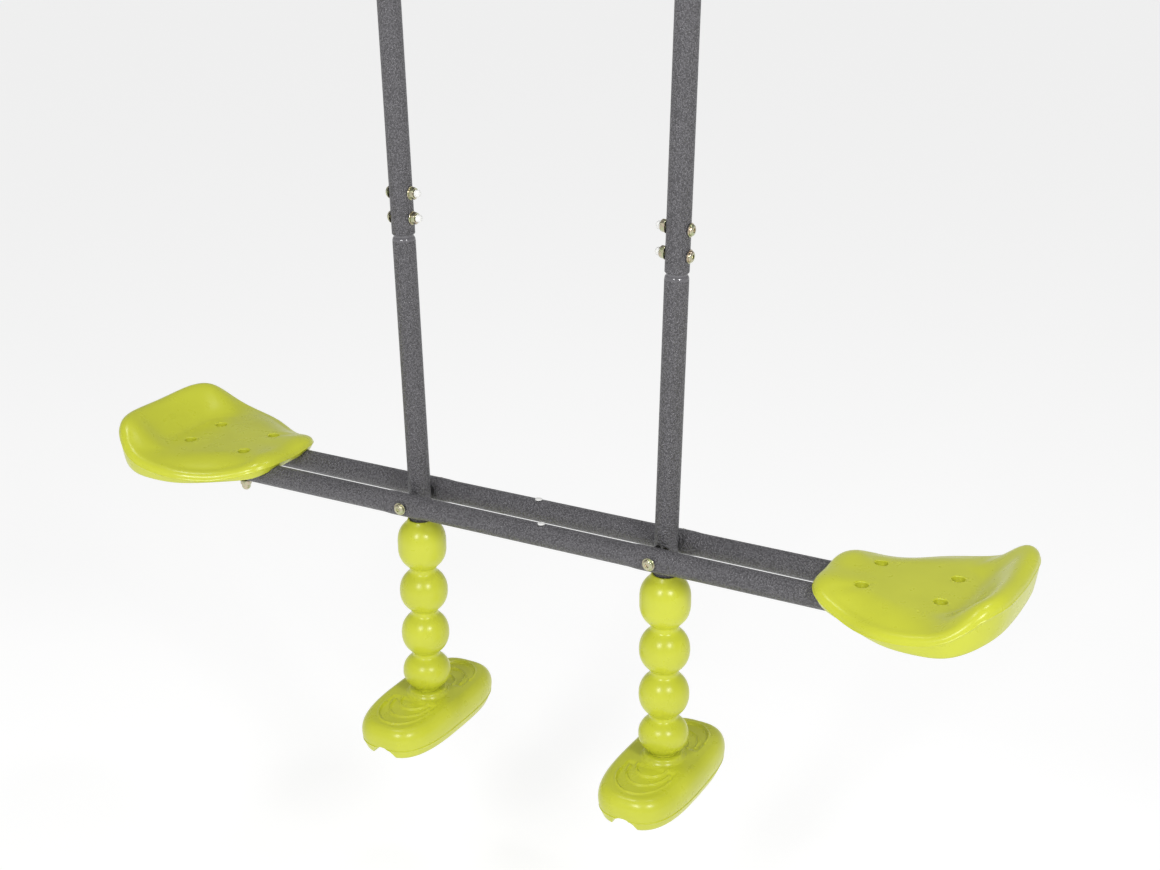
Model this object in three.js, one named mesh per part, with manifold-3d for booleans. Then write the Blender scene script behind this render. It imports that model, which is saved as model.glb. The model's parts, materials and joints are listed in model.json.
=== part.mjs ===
// Two-child glider swing. Two hangers swing from brackets bolted under a beam and carry a
// pair of rails with a seat at each end. Each hanger goes on below the rails into a beaded
// column and a footrest. Millimetres, +X along the rails, +Y to the back, +Z up. The origin
// lies in the plane of the bracket tops, midway between the two brackets.
import * as THREE from 'three';
import { mergeVertices } from 'three/addons/utils/BufferGeometryUtils.js';
import Module from 'manifold-3d';

const wasm = await Module();
wasm.setup();

// ---- driving dimensions ----
const GAP = 0.3;                    // play between pieces that touch
const RAIL_AXIS_Z = -1300;          // rail centre line below the beam
const TOP_PIVOT_Z = -48;            // hanger pivot below the beam
const HANGER_HALF_SPACING = 172.5;  // at the rails
const SPLAY_DEG = 1.5;              // above the rails each hanger leans outward going up
const SPLAY = THREE.MathUtils.degToRad(SPLAY_DEG);

const TUBE_R = 14;
const TUBE_WALL = 1.5;
const TUBE_SIDES = 16;
const BOLT_SIDES = 10;
const HOLE_SIDES = 10;
const NECK_R = TUBE_R - TUBE_WALL - GAP;  // swaged end that slips into the upper tube

const SPLICE_Z = 338;               // shoulder of the lower tube, above the rail axis
const NECK_LENGTH = 76;
const SPLICE_BOLT_Z = [360, 390];
const TOP_EYE_OVERHANG = 19;        // tube above its pivot

const RAIL_HALF_SPACING = 31.7;
const RAIL_HALF_LENGTH = 541;
const CAP_THICKNESS = 3;
const PLUG_X = { front: 22, back: -18 };  // small plugs in the rail tops
const SEAT_CENTRE_X = 470.2;        // middle of the four seat bolts
const SEAT_BOLT_HALF_PITCH = 44.5;
const SEAT_TOP = 25.8;              // seat surface at the bolts, above the rail axis

const M8 = { shank: 4, head: 8, headHeight: 4.4, nut: 7.4, nutHeight: 6.6 };
const M10 = { shank: 5, head: 9.5, headHeight: 5, nut: 9.2, nutHeight: 8 };
const M6 = { shank: 3, head: 6.5, headHeight: 3.6, nut: 5.8, nutHeight: 5 };
const HOLE_PLAY = 0.4;              // bolt holes are this much larger in radius
const OPEN_PIVOT_HOLE_R = 11.4;     // right-hand lower pivot hole, wide enough for the linkage

const COLUMN_TOP = -30;
const COLUMN_BOTTOM = -271;
const BEAD_NECKS = [-100, -160.5, -221];
const BEAD_R = 31;
const BEAD_NECK_R = 17;
const COLUMN_RIM_R = 20;

const FOOT_TOP = -271.3;
const FOOT_SHOULDER = -278;         // top of the pod, below its collar
const FOOT_BOTTOM = -321.5;
const FOOT_HALF_LENGTH = 113;       // along Y
const FOOT_HALF_WIDTH = 57;         // along X
const FOOT_SQUARENESS = 3.1;         // 2 is an oval in plan, more is squarer
const TUBE_FOOT_Z = -290;           // lower end of the lower tube
const CHANNEL_R = 18;               // arched channel along the footrest's underside
const CHANNEL_AXIS_Z = FOOT_BOTTOM - 3;
const SCREW_SEAT_Z = -303;          // flat face for the screw's head in the channel

// ---- finishes ----
const GREY_PAINT = new THREE.MeshStandardMaterial({ color: 0x57585a, roughness: 0.5, metalness: 0.2 });
const LIME_PLASTIC = new THREE.MeshStandardMaterial({ color: 0xc6cc2e, roughness: 0.38, metalness: 0 });
const YELLOW_ZINC = new THREE.MeshStandardMaterial({ color: 0xb9a468, roughness: 0.3, metalness: 0.9 });
const BLACK_PLASTIC = new THREE.MeshStandardMaterial({ color: 0x202020, roughness: 0.6, metalness: 0 });
const WHITE_PLASTIC = new THREE.MeshStandardMaterial({ color: 0xe8e8e4, roughness: 0.5, metalness: 0 });

// ---- solids ----
function toSolid(geometry) {
  const bare = geometry.clone();
  bare.deleteAttribute('normal');
  bare.deleteAttribute('uv');
  const merged = mergeVertices(bare, 1e-4);
  return new wasm.Manifold(new wasm.Mesh({
    numProp: 3,
    vertProperties: new Float32Array(merged.attributes.position.array),
    triVerts: new Uint32Array(merged.index.array),
  }));
}

function toGeometry(solid) {
  const { vertProperties, triVerts } = solid.getMesh();
  const geometry = new THREE.BufferGeometry();
  geometry.setAttribute('position', new THREE.BufferAttribute(new Float32Array(vertProperties), 3));
  geometry.setIndex(new THREE.BufferAttribute(new Uint32Array(triVerts), 1));
  geometry.computeVertexNormals();
  return geometry;
}

function subtract(body, ...tools) {
  return tools.reduce((left, tool) => left.subtract(tool), body);
}

// A solid turned from [radius, height] points. The axis is +Z.
function turned(profile, sides) {
  const points = profile.map(([r, z]) => new THREE.Vector2(r, z));
  const geometry = new THREE.LatheGeometry(points, sides);
  geometry.rotateX(Math.PI / 2);
  return toSolid(geometry);
}

// A plain round bar from z0 to z1.
function bar(radius, z0, z1, sides) {
  return turned([[0, z0], [radius, z0], [radius, z1], [0, z1]], sides);
}

// A pipe from z0 to z1.
function pipe(outer, inner, z0, z1, sides) {
  return turned([[inner, z0], [outer, z0], [outer, z1], [inner, z1], [inner, z0]], sides);
}

function alongX(solid) {
  return solid.rotate([0, 90, 0]);
}

function alongY(solid) {
  return solid.rotate([-90, 0, 0]);
}

// An outline extruded upward from z0.
function plate(shape, z0, height, curveSegments = 6) {
  const geometry = new THREE.ExtrudeGeometry(shape, { depth: height, bevelEnabled: false, curveSegments });
  geometry.translate(0, 0, z0);
  return toSolid(geometry);
}

// A closed body lofted through rings with equal point counts, from bottom to top.
function lofted(rings, bottom, top) {
  const count = rings[0].length;
  const position = rings.flat().concat([bottom, top]).flat();
  const index = [];
  for (let ring = 0; ring < rings.length - 1; ring += 1) {
    for (let i = 0; i < count; i += 1) {
      const a = ring * count + i;
      const b = ring * count + ((i + 1) % count);
      index.push(a, b, b + count, a, b + count, a + count);
    }
  }
  const bottomPoint = rings.length * count;
  const last = (rings.length - 1) * count;
  for (let i = 0; i < count; i += 1) {
    const next = (i + 1) % count;
    index.push(bottomPoint, next, i);
    index.push(bottomPoint + 1, last + i, last + next);
  }
  const geometry = new THREE.BufferGeometry();
  geometry.setAttribute('position', new THREE.BufferAttribute(new Float32Array(position), 3));
  geometry.setIndex(index);
  return toSolid(geometry);
}

// ---- fasteners, all along +Z with the underside of the head at z = 0 and the shank below ----
function domeBolt(size, length) {
  return turned([
    [0, -length], [size.shank, -length], [size.shank, 0], [size.head, 0],
    [size.head * 0.75, size.headHeight * 0.75], [0, size.headHeight],
  ], BOLT_SIDES);
}

function hexNut(size) {
  const hexagon = new THREE.Shape();
  for (let corner = 0; corner < 6; corner += 1) {
    const angle = corner * Math.PI / 3;
    const step = corner === 0 ? 'moveTo' : 'lineTo';
    hexagon[step](size.nut * Math.cos(angle), size.nut * Math.sin(angle));
  }
  hexagon.closePath();
  const thread = bar(size.shank + GAP, -1, size.nutHeight + 1, BOLT_SIDES);
  return plate(hexagon, 0, size.nutHeight).subtract(thread);
}

// A domed cap nut: a hexagon with a closed round end.
function capNut(size) {
  const dome = turned([
    [0, size.nutHeight - 1], [size.nut * 0.8, size.nutHeight - 1],
    [size.nut * 0.7, size.nutHeight + 3.6], [0, size.nutHeight + 5.4],
  ], BOLT_SIDES);
  const thread = bar(size.shank + GAP, -1, size.nutHeight + 1.6, BOLT_SIDES);
  return hexNut(size).add(dome).subtract(thread);
}

// ---- pieces fixed to the beam ----
function hangerBracket() {
  const baseHalf = [48, 25];
  const thickness = 4;
  const cheekHalfWidth = 20;
  const cheekInner = 18.5;
  const base = new THREE.Shape();
  base.moveTo(-baseHalf[0], -baseHalf[1]);
  base.lineTo(baseHalf[0], -baseHalf[1]);
  base.lineTo(baseHalf[0], baseHalf[1]);
  base.lineTo(-baseHalf[0], baseHalf[1]);
  base.closePath();
  for (const side of [-1, 1]) {
    const screwHole = new THREE.Path();
    screwHole.absarc(side * 34, 0, 4.5, 0, 2 * Math.PI, true);
    base.holes.push(screwHole);
  }
  const cheek = new THREE.Shape();
  cheek.moveTo(-cheekHalfWidth, 0);
  cheek.lineTo(-cheekHalfWidth, TOP_PIVOT_Z);
  cheek.absarc(0, TOP_PIVOT_Z, cheekHalfWidth, Math.PI, 2 * Math.PI, false);
  cheek.lineTo(cheekHalfWidth, 0);
  cheek.closePath();
  const pivotHole = new THREE.Path();
  pivotHole.absarc(0, TOP_PIVOT_Z, M10.shank + HOLE_PLAY, 0, 2 * Math.PI, true);
  cheek.holes.push(pivotHole);
  let body = plate(base, -thickness, thickness, 5);
  for (const side of [-1, 1]) {
    const middle = side * (cheekInner + thickness / 2);
    const upright = plate(cheek, -thickness / 2, thickness, 5).rotate([90, 0, 0]);
    body = body.add(upright.translate([0, middle, 0]));
  }
  return body;
}

// ---- pieces of a hanger, with the lower pivot at the origin ----
// The part above the rails lies along +Z here and leans once it is placed. Below the rails
// the hanger hangs straight down.
const HANGER_LENGTH = (TOP_PIVOT_Z - RAIL_AXIS_Z) / Math.cos(SPLAY);

function spliceHoles() {
  return SPLICE_BOLT_Z.map((z) => alongX(bar(M8.shank + HOLE_PLAY, -20, 20, HOLE_SIDES)).translate([0, 0, z]));
}

function upperTube() {
  const wallInside = TUBE_R - TUBE_WALL;
  const body = pipe(TUBE_R, wallInside, SPLICE_Z + 2, HANGER_LENGTH + TOP_EYE_OVERHANG, TUBE_SIDES);
  const bushHole = alongY(bar(8.4, -20, 20, HOLE_SIDES)).translate([0, 0, HANGER_LENGTH]);
  return subtract(body, bushHole, ...spliceHoles());
}

// The lower tube is bent by the splay at its pivot, so its foot hangs straight down. It is
// made in the frame of the part below the rails.
function lowerTube(pivotHoleRadius, lean) {
  const bore = TUBE_R - TUBE_WALL;
  const neckBore = NECK_R - TUBE_WALL;
  const overlap = 3;
  const upperOutside = turned([
    [0, -overlap], [TUBE_R, -overlap], [TUBE_R, SPLICE_Z - 1.5], [NECK_R, SPLICE_Z + 1],
    [NECK_R, SPLICE_Z + NECK_LENGTH], [0, SPLICE_Z + NECK_LENGTH],
  ], TUBE_SIDES);
  const upperInside = turned([
    [0, -overlap], [bore, -overlap], [bore, SPLICE_Z - 8], [neckBore, SPLICE_Z - 4],
    [neckBore, SPLICE_Z + NECK_LENGTH + 1], [0, SPLICE_Z + NECK_LENGTH + 1],
  ], TUBE_SIDES);
  const outside = bar(TUBE_R, TUBE_FOOT_Z, overlap, TUBE_SIDES).add(upperOutside.rotate([0, lean, 0]));
  const inside = bar(bore, TUBE_FOOT_Z + 8, overlap, TUBE_SIDES).add(upperInside.rotate([0, lean, 0]));
  const thread = bar(M6.shank + HOLE_PLAY, TUBE_FOOT_Z - 1, TUBE_FOOT_Z + 9, HOLE_SIDES);
  const pivotHole = alongY(bar(pivotHoleRadius, -20, 20, TUBE_SIDES));
  const boltHoles = spliceHoles().map((hole) => hole.rotate([0, lean, 0]));
  return subtract(outside, inside, thread, pivotHole, ...boltHoles);
}

function topBush() {
  return alongY(pipe(8, M10.shank + GAP, -18.1, 18.1, HOLE_SIDES));
}

// The bead centres and radii follow from the necks. The top bead is a taller barrel.
function beadColumn() {
  const bore = TUBE_R + GAP;
  const outline = [];
  const floors = [...BEAD_NECKS.slice().reverse()];
  const starts = [COLUMN_BOTTOM, ...floors];
  const ends = [...floors, COLUMN_TOP];
  for (let bead = 0; bead < starts.length; bead += 1) {
    const [z0, z1] = [starts[bead], ends[bead]];
    const low = BEAD_NECK_R;
    const high = bead === starts.length - 1 ? COLUMN_RIM_R : BEAD_NECK_R;
    const steps = 4;
    for (let step = bead === 0 ? 0 : 1; step <= steps; step += 1) {
      const t = step / steps;
      const neck = low + (high - low) * t;
      outline.push([neck + (BEAD_R - neck) * Math.sin(Math.PI * t) ** 0.75, z0 + (z1 - z0) * t]);
    }
  }
  return turned([[bore, COLUMN_BOTTOM], ...outline, [bore, COLUMN_TOP], [bore, COLUMN_BOTTOM]], TUBE_SIDES);
}

// The plan outline of the footrest: a rounded oblong, drawn at the given inset from its edge.
function footRing(inset, z, count) {
  const ring = [];
  const power = 2 / FOOT_SQUARENESS;
  for (let i = 0; i < count; i += 1) {
    const angle = 2 * Math.PI * i / count;
    const [c, s] = [Math.cos(angle), Math.sin(angle)];
    const x = Math.sign(c) * Math.abs(c) ** power * (FOOT_HALF_WIDTH - inset);
    const y = Math.sign(s) * Math.abs(s) ** power * (FOOT_HALF_LENGTH - inset);
    ring.push([x, y, z]);
  }
  return ring;
}

function footrest() {
  const count = 24;
  const rings = [
    footRing(12, FOOT_BOTTOM, count), footRing(2, FOOT_BOTTOM + 9, count),
    footRing(0, FOOT_BOTTOM + 20, count), footRing(4, FOOT_SHOULDER - 10, count),
    footRing(15, FOOT_SHOULDER - 3.5, count), footRing(32, FOOT_SHOULDER, count),
  ];
  const body = lofted(rings, [0, 0, FOOT_BOTTOM], [0, 0, FOOT_SHOULDER]);
  const collar = turned([
    [0, FOOT_SHOULDER - 3], [26, FOOT_SHOULDER - 3], [24, FOOT_TOP - 3], [20, FOOT_TOP], [0, FOOT_TOP],
  ], TUBE_SIDES);
  const socket = bar(TUBE_R + GAP, TUBE_FOOT_Z - GAP, FOOT_TOP + 5, TUBE_SIDES);
  const reach = FOOT_HALF_LENGTH + 5;
  const channel = alongY(bar(CHANNEL_R, -reach, reach, TUBE_SIDES)).translate([0, 0, CHANNEL_AXIS_Z]);
  const screwHole = bar(M6.shank + HOLE_PLAY, FOOT_BOTTOM - 5, TUBE_FOOT_Z + 1, HOLE_SIDES);
  const spotFace = bar(M6.head + 1.5, FOOT_BOTTOM - 5, SCREW_SEAT_Z, HOLE_SIDES);
  return subtract(body.add(collar), socket, screwHole, spotFace, channel);
}

// ---- pieces that lie along the rails, with the rail axis at z = 0 ----
function rail(plugX) {
  const body = alongX(pipe(TUBE_R, TUBE_R - TUBE_WALL, -RAIL_HALF_LENGTH, RAIL_HALF_LENGTH, TUBE_SIDES));
  const boltHoles = [];
  for (const side of [-1, 1]) {
    const pivot = alongY(bar(M8.shank + HOLE_PLAY, -20, 20, HOLE_SIDES));
    boltHoles.push(pivot.translate([side * HANGER_HALF_SPACING, 0, 0]));
    for (const half of [-1, 1]) {
      const x = side * SEAT_CENTRE_X + half * SEAT_BOLT_HALF_PITCH;
      boltHoles.push(bar(M8.shank + HOLE_PLAY, -20, 20, HOLE_SIDES).translate([x, 0, 0]));
    }
  }
  const plugHole = bar(3.5, 0, 20, HOLE_SIDES).translate([plugX, 0, 0]);
  return subtract(body, plugHole, ...boltHoles);
}

function railCap() {
  return alongX(turned([
    [0, -12], [TUBE_R - TUBE_WALL - GAP, -12], [TUBE_R - TUBE_WALL - GAP, GAP],
    [TUBE_R, GAP], [TUBE_R, CAP_THICKNESS], [0, CAP_THICKNESS],
  ], TUBE_SIDES));
}

function railPlug() {
  return turned([[0, -4], [3.1, -4], [3.1, GAP], [4.6, GAP], [0, 2]], BOLT_SIDES);
}

function pivotSpacer() {
  return alongY(pipe(8, M8.shank + GAP, -1.5, 1.5, HOLE_SIDES));
}

// Half of the seat's rim from the nose to the outer end, going round the back of the seat:
// distance outward from the seat bolts' middle, distance from the centre line, height of the
// rim's crest and of its lower edge above the rail axis.
const SEAT_RIM = [
  { out: -100, side: 0, crest: 29, foot: 9 },
  { out: -100, side: 22, crest: 31, foot: 9 },
  { out: -97, side: 43, crest: 32, foot: 8 },
  { out: -86, side: 62, crest: 27, foot: 4 },
  { out: -60, side: 78, crest: 18, foot: 0 },
  { out: -29, side: 95, crest: 14, foot: -2 },
  { out: 6, side: 111, crest: 17, foot: -3 },
  { out: 46, side: 117, crest: 23, foot: -2 },
  { out: 82, side: 113, crest: 36, foot: 2 },
  { out: 108, side: 96, crest: 56, foot: 11 },
  { out: 122, side: 72, crest: 62, foot: 17 },
  { out: 127, side: 38, crest: 62, foot: 18 },
  { out: 128, side: 0, crest: 61, foot: 18 },
];

// Points on the closed rim, evenly spaced in the outline's own parameter.
function seatRim(count) {
  const mirrored = SEAT_RIM.slice(1, -1).reverse().map((knot) => ({ ...knot, side: -knot.side }));
  const knots = [...SEAT_RIM, ...mirrored];
  const plan = new THREE.CatmullRomCurve3(
    knots.map((knot) => new THREE.Vector3(knot.out, knot.side, knot.crest)), true, 'centripetal');
  const lower = new THREE.CatmullRomCurve3(
    knots.map((knot) => new THREE.Vector3(knot.out, knot.side, knot.foot)), true, 'centripetal');
  const rim = [];
  for (let i = 0; i < count; i += 1) {
    const t = i / count;
    const edge = plan.getPoint(t);
    const ahead = plan.getPoint((t + 0.002) % 1);
    const inward = new THREE.Vector2(-(ahead.y - edge.y), ahead.x - edge.x).normalize();
    if (inward.dot(new THREE.Vector2(-edge.x, -edge.y)) < 0) inward.negate();
    rim.push({ x: edge.x, y: edge.y, crest: edge.z, foot: lower.getPoint(t).z, inward });
  }
  return rim.reverse();
}

function seat() {
  const rim = seatRim(32);
  const inset = (point, distance, z) => [
    point.x + point.inward.x * distance, point.y + point.inward.y * distance, z];
  const towardMiddle = (point, share, z) => [point.x * share, point.y * share, z];
  const panHeight = (point, share) => SEAT_TOP + (point.crest - SEAT_TOP) * share;
  const rings = [
    rim.map((p) => towardMiddle(p, 0.6, 12)),
    rim.map((p) => inset(p, 10, p.foot)),
    rim.map((p) => inset(p, 3, p.foot + 4)),
    rim.map((p) => inset(p, 0, p.foot * 0.5 + p.crest * 0.5)),
    rim.map((p) => inset(p, 4, p.crest - 3)),
    rim.map((p) => inset(p, 11, p.crest)),
    rim.map((p) => towardMiddle(p, 0.78, panHeight(p, 0.5))),
    rim.map((p) => towardMiddle(p, 0.6, panHeight(p, 0.12))),
    rim.map((p) => towardMiddle(p, 0.3, SEAT_TOP)),
  ];
  const middle = [0, 0];
  const body = lofted(rings, [...middle, 12], [...middle, SEAT_TOP]);
  const tools = [];
  for (const side of [-1, 1]) {
    const y = side * RAIL_HALF_SPACING;
    tools.push(alongX(bar(TUBE_R + GAP, -160, 160, TUBE_SIDES)).translate([0, y, 0]));
    for (const half of [-1, 1]) {
      const hole = turned([
        [0, -5], [M8.shank + HOLE_PLAY, -5], [M8.shank + HOLE_PLAY, SEAT_TOP - 5],
        [10, SEAT_TOP - 5], [10, SEAT_TOP + 20], [0, SEAT_TOP + 20],
      ], HOLE_SIDES);
      tools.push(hole.translate([half * SEAT_BOLT_HALF_PITCH, y, 0]));
    }
  }
  return subtract(body, ...tools);
}

// ---- assembly ----
const glider = new THREE.Group();

function place(parent, name, solid, material, [x, y, z] = [0, 0, 0]) {
  const mesh = new THREE.Mesh(toGeometry(solid), material);
  mesh.name = name;
  mesh.position.set(x, y, z);
  parent.add(mesh);
}

const SIDES = [['left', -1], ['right', 1]];
const topPivotX = HANGER_HALF_SPACING + HANGER_LENGTH * Math.sin(SPLAY);

function addTopPivot(name, side) {
  const stand = new THREE.Group();
  stand.position.x = side * topPivotX;
  const cheekOuter = 22.5 + GAP;
  const bolt = domeBolt(M10, 2 * cheekOuter + M10.nutHeight + 4).rotate([90, 0, 0]);
  const nut = alongY(hexNut(M10));
  place(stand, `hanger_bracket_${name}`, hangerBracket(), GREY_PAINT);
  place(stand, `top_pivot_bolt_${name}`, bolt, YELLOW_ZINC, [0, -cheekOuter, TOP_PIVOT_Z]);
  place(stand, `top_pivot_nut_${name}`, nut, YELLOW_ZINC, [0, cheekOuter, TOP_PIVOT_Z]);
  glider.add(stand);
}

function addHanger(name, side) {
  const foot = new THREE.Group();
  foot.position.set(side * HANGER_HALF_SPACING, 0, RAIL_AXIS_Z);
  const pivotHoleRadius = side < 0 ? M8.shank + HOLE_PLAY : OPEN_PIVOT_HOLE_R;
  const screw = domeBolt(M6, 22).rotate([180, 0, 0]);
  place(foot, `lower_tube_${name}`, lowerTube(pivotHoleRadius, side * SPLAY_DEG), GREY_PAINT);
  place(foot, `bead_column_${name}`, beadColumn(), LIME_PLASTIC);
  place(foot, `footrest_${name}`, footrest(), LIME_PLASTIC);
  place(foot, `foot_screw_${name}`, screw, YELLOW_ZINC, [0, 0, SCREW_SEAT_Z - GAP]);
  const arm = new THREE.Group();
  arm.rotation.y = side * SPLAY;
  place(arm, `upper_tube_${name}`, upperTube(), GREY_PAINT);
  place(arm, `top_bush_${name}`, topBush(), BLACK_PLASTIC, [0, 0, HANGER_LENGTH]);
  const spliceReach = TUBE_R + GAP;
  SPLICE_BOLT_Z.forEach((z, i) => {
    const bolt = domeBolt(M8, 2 * spliceReach + M8.nutHeight + 4.5).rotate([0, side * 90, 0]);
    const nut = hexNut(M8).rotate([0, -side * 90, 0]);
    const number = i + 1;
    place(arm, `splice_bolt_${name}_${number}`, bolt, YELLOW_ZINC, [side * spliceReach, 0, z]);
    place(arm, `splice_nut_${name}_${number}`, nut, YELLOW_ZINC, [-side * spliceReach, 0, z]);
  });
  foot.add(arm);
  glider.add(foot);
}

function addSeatBolts(rails, name, side) {
  let number = 1;
  for (const half of [-1, 1]) {
    for (const row of [-1, 1]) {
      const x = side * (SEAT_CENTRE_X + half * SEAT_BOLT_HALF_PITCH);
      const y = row * RAIL_HALF_SPACING;
      const headSeat = SEAT_TOP - 5 + GAP;
      const bolt = domeBolt(M8, headSeat + TUBE_R + GAP + M8.nutHeight);
      const nut = capNut(M8).rotate([180, 0, 0]);
      place(rails, `seat_bolt_${name}_${number}`, bolt, YELLOW_ZINC, [x, y, headSeat]);
      place(rails, `seat_nut_${name}_${number}`, nut, YELLOW_ZINC, [x, y, -TUBE_R - GAP]);
      number += 1;
    }
  }
}

function addRails() {
  const rails = new THREE.Group();
  rails.position.z = RAIL_AXIS_Z;
  for (const [row, y] of [['front', -RAIL_HALF_SPACING], ['back', RAIL_HALF_SPACING]]) {
    place(rails, `rail_${row}`, rail(PLUG_X[row]), GREY_PAINT, [0, y, 0]);
    place(rails, `rail_plug_${row}`, railPlug(), WHITE_PLASTIC, [PLUG_X[row], y, TUBE_R]);
    for (const [name, side] of SIDES) {
      const cap = side > 0 ? railCap() : railCap().rotate([0, 0, 180]);
      place(rails, `rail_cap_${row}_${name}`, cap, BLACK_PLASTIC, [side * RAIL_HALF_LENGTH, y, 0]);
      const between = [side * HANGER_HALF_SPACING, y / 2, 0];
      place(rails, `pivot_spacer_${row}_${name}`, pivotSpacer(), BLACK_PLASTIC, between);
    }
  }
  for (const [name, side] of SIDES) {
    const x = side * HANGER_HALF_SPACING;
    const reach = RAIL_HALF_SPACING + TUBE_R + GAP;
    const bolt = domeBolt(M8, 2 * reach + M8.nutHeight + 3).rotate([90, 0, 0]);
    place(rails, `pivot_bolt_${name}`, bolt, YELLOW_ZINC, [x, -reach, 0]);
    place(rails, `pivot_nut_${name}`, alongY(hexNut(M8)), YELLOW_ZINC, [x, reach, 0]);
    const pan = side > 0 ? seat() : seat().rotate([0, 0, 180]);
    place(rails, `seat_${name}`, pan, LIME_PLASTIC, [side * SEAT_CENTRE_X, 0, 0]);
    addSeatBolts(rails, name, side);
  }
  glider.add(rails);
}

for (const [name, side] of SIDES) {
  addTopPivot(name, side);
  addHanger(name, side);
}
addRails();

export default glider;
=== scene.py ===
import json
import math

import bmesh
import bpy
import numpy as np
from mathutils import Matrix, Vector


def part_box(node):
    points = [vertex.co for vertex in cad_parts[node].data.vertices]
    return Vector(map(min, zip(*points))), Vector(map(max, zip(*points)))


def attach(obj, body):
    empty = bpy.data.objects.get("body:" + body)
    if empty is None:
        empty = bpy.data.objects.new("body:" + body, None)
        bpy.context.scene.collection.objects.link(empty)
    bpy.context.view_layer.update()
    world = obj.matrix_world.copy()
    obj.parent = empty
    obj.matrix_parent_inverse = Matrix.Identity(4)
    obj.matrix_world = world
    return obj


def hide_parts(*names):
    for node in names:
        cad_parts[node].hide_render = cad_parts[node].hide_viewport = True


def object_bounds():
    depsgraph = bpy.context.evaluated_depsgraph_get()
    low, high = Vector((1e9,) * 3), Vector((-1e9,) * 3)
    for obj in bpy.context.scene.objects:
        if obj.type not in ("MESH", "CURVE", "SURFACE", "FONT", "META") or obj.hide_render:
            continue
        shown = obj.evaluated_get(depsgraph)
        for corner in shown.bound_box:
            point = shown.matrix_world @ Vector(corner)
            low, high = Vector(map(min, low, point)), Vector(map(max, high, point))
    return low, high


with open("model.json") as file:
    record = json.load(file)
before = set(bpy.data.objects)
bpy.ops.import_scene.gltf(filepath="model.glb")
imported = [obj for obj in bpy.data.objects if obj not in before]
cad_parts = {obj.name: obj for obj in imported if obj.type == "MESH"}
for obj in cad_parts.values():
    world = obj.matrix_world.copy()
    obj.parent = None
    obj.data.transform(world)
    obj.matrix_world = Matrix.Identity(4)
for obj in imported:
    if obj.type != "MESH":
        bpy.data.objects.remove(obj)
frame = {"record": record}
cad_box = [list(corner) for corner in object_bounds()]

bl_info = {
    "name": "Glider swing",
    "version": (1, 0, 0),
    "blender": (4, 5, 0),
    "location": "3D View > Sidebar > Glider",
    "description": "Finished surfaces and materials of a two-child glider swing",
    "category": "Add Mesh",
}

MM = 0.001
SIDES = (("left", -1), ("right", 1))
ROWS = ("front", "back")
BODY_OF = {
    node: body
    for body, nodes in frame["record"]["behaviour"]["bodies"].items()
    for node in nodes
}


# ---- places, all read from the frame ----
def middle(node):
    """The centre of a node's box."""
    low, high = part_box(node)
    return (low + high) / 2


def extent(node):
    """The size of a node's box."""
    low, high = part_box(node)
    return high - low


TUBE_R = extent("rail_front").z / 2
RAIL_Z = middle("rail_front").z
PIVOT_R = 4.4 * MM                 # bore of the bolt holes
OPEN_PIVOT_R = 11.4 * MM           # the right-hand lower pivot, where the linkage needs room
SEAT_TOP = 25.8 * MM               # seat surface at its bolts, above the rail axis
FIT = 0.3 * MM                     # gap between two pieces that touch
UP = Vector((0, 0, 1))
DRILL = 20 * MM                    # half length of a drill through a tube
SPLICE_BOLTS = (1, 2)
SEAT_BOLTS = (1, 2, 3, 4)


def span_along(node, direction):
    """The size of a node's box along a direction."""
    return abs(extent(node).dot(Vector(map(abs, direction))))


def low_pivot(name):
    """Where a hanger crosses the rails."""
    return Vector((middle(f"pivot_bolt_{name}").x, 0, RAIL_Z))


def hanger_axis(name):
    """Unit vector up the leaning part of a hanger."""
    return (middle(f"top_bush_{name}") - low_pivot(name)).normalized()


def across_hanger(name):
    """Unit vector square to a hanger, in the plane of the swing."""
    return Vector((0, 1, 0)).cross(hanger_axis(name)).normalized()


def along_hanger(name, node):
    """Distance of a node's middle up the hanger from the lower pivot."""
    return (middle(node) - low_pivot(name)).dot(hanger_axis(name))


def axes(origin, direction, aside=(1, 0, 0)):
    """A frame whose Z points along direction and whose X is as near to aside as it can be."""
    z = Vector(direction).normalized()
    x = (Vector(aside) - z * z.dot(Vector(aside))).normalized()
    turn = Matrix((x, z.cross(x), z)).transposed().to_4x4()
    return Matrix.Translation(origin) @ turn


def hanger_frame(name):
    """The lower pivot's frame, with Z up the hanger and X along the rails."""
    return axes(low_pivot(name), hanger_axis(name))


# ---- shapes ----
class Shape:
    """Points and faces of a piece while it is being made."""

    def __init__(self, points=(), faces=()):
        self.points = [Vector(point) for point in points]
        self.faces = [tuple(face) for face in faces]

    def moved(self, matrix):
        return Shape([matrix @ point for point in self.points], self.faces)

    def joined(self, *others):
        whole = Shape(self.points, self.faces)
        for other in others:
            first = len(whole.points)
            whole.points += other.points
            whole.faces += [tuple(first + i for i in face) for face in other.faces]
        return whole


def ringed(rings, close=False, start=None, end=None):
    """A skin over equal rings. close joins the last ring to the first, and start and end are the
    points that cap it."""
    count = len(rings[0])
    points = [point for ring in rings for point in ring]
    pairs = [(k, k + 1) for k in range(len(rings) - 1)]
    if close:
        pairs.append((len(rings) - 1, 0))
    faces = []
    for low, high in pairs:
        for i in range(count):
            j = (i + 1) % count
            faces.append((low * count + i, low * count + j, high * count + j, high * count + i))
    last = (len(rings) - 1) * count
    if start is not None:
        points.append(start)
        hub = len(points) - 1
        faces += [((i + 1) % count, i, hub) for i in range(count)]
    if end is not None:
        points.append(end)
        hub = len(points) - 1
        faces += [(last + i, last + (i + 1) % count, hub) for i in range(count)]
    return Shape(points, faces)


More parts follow.
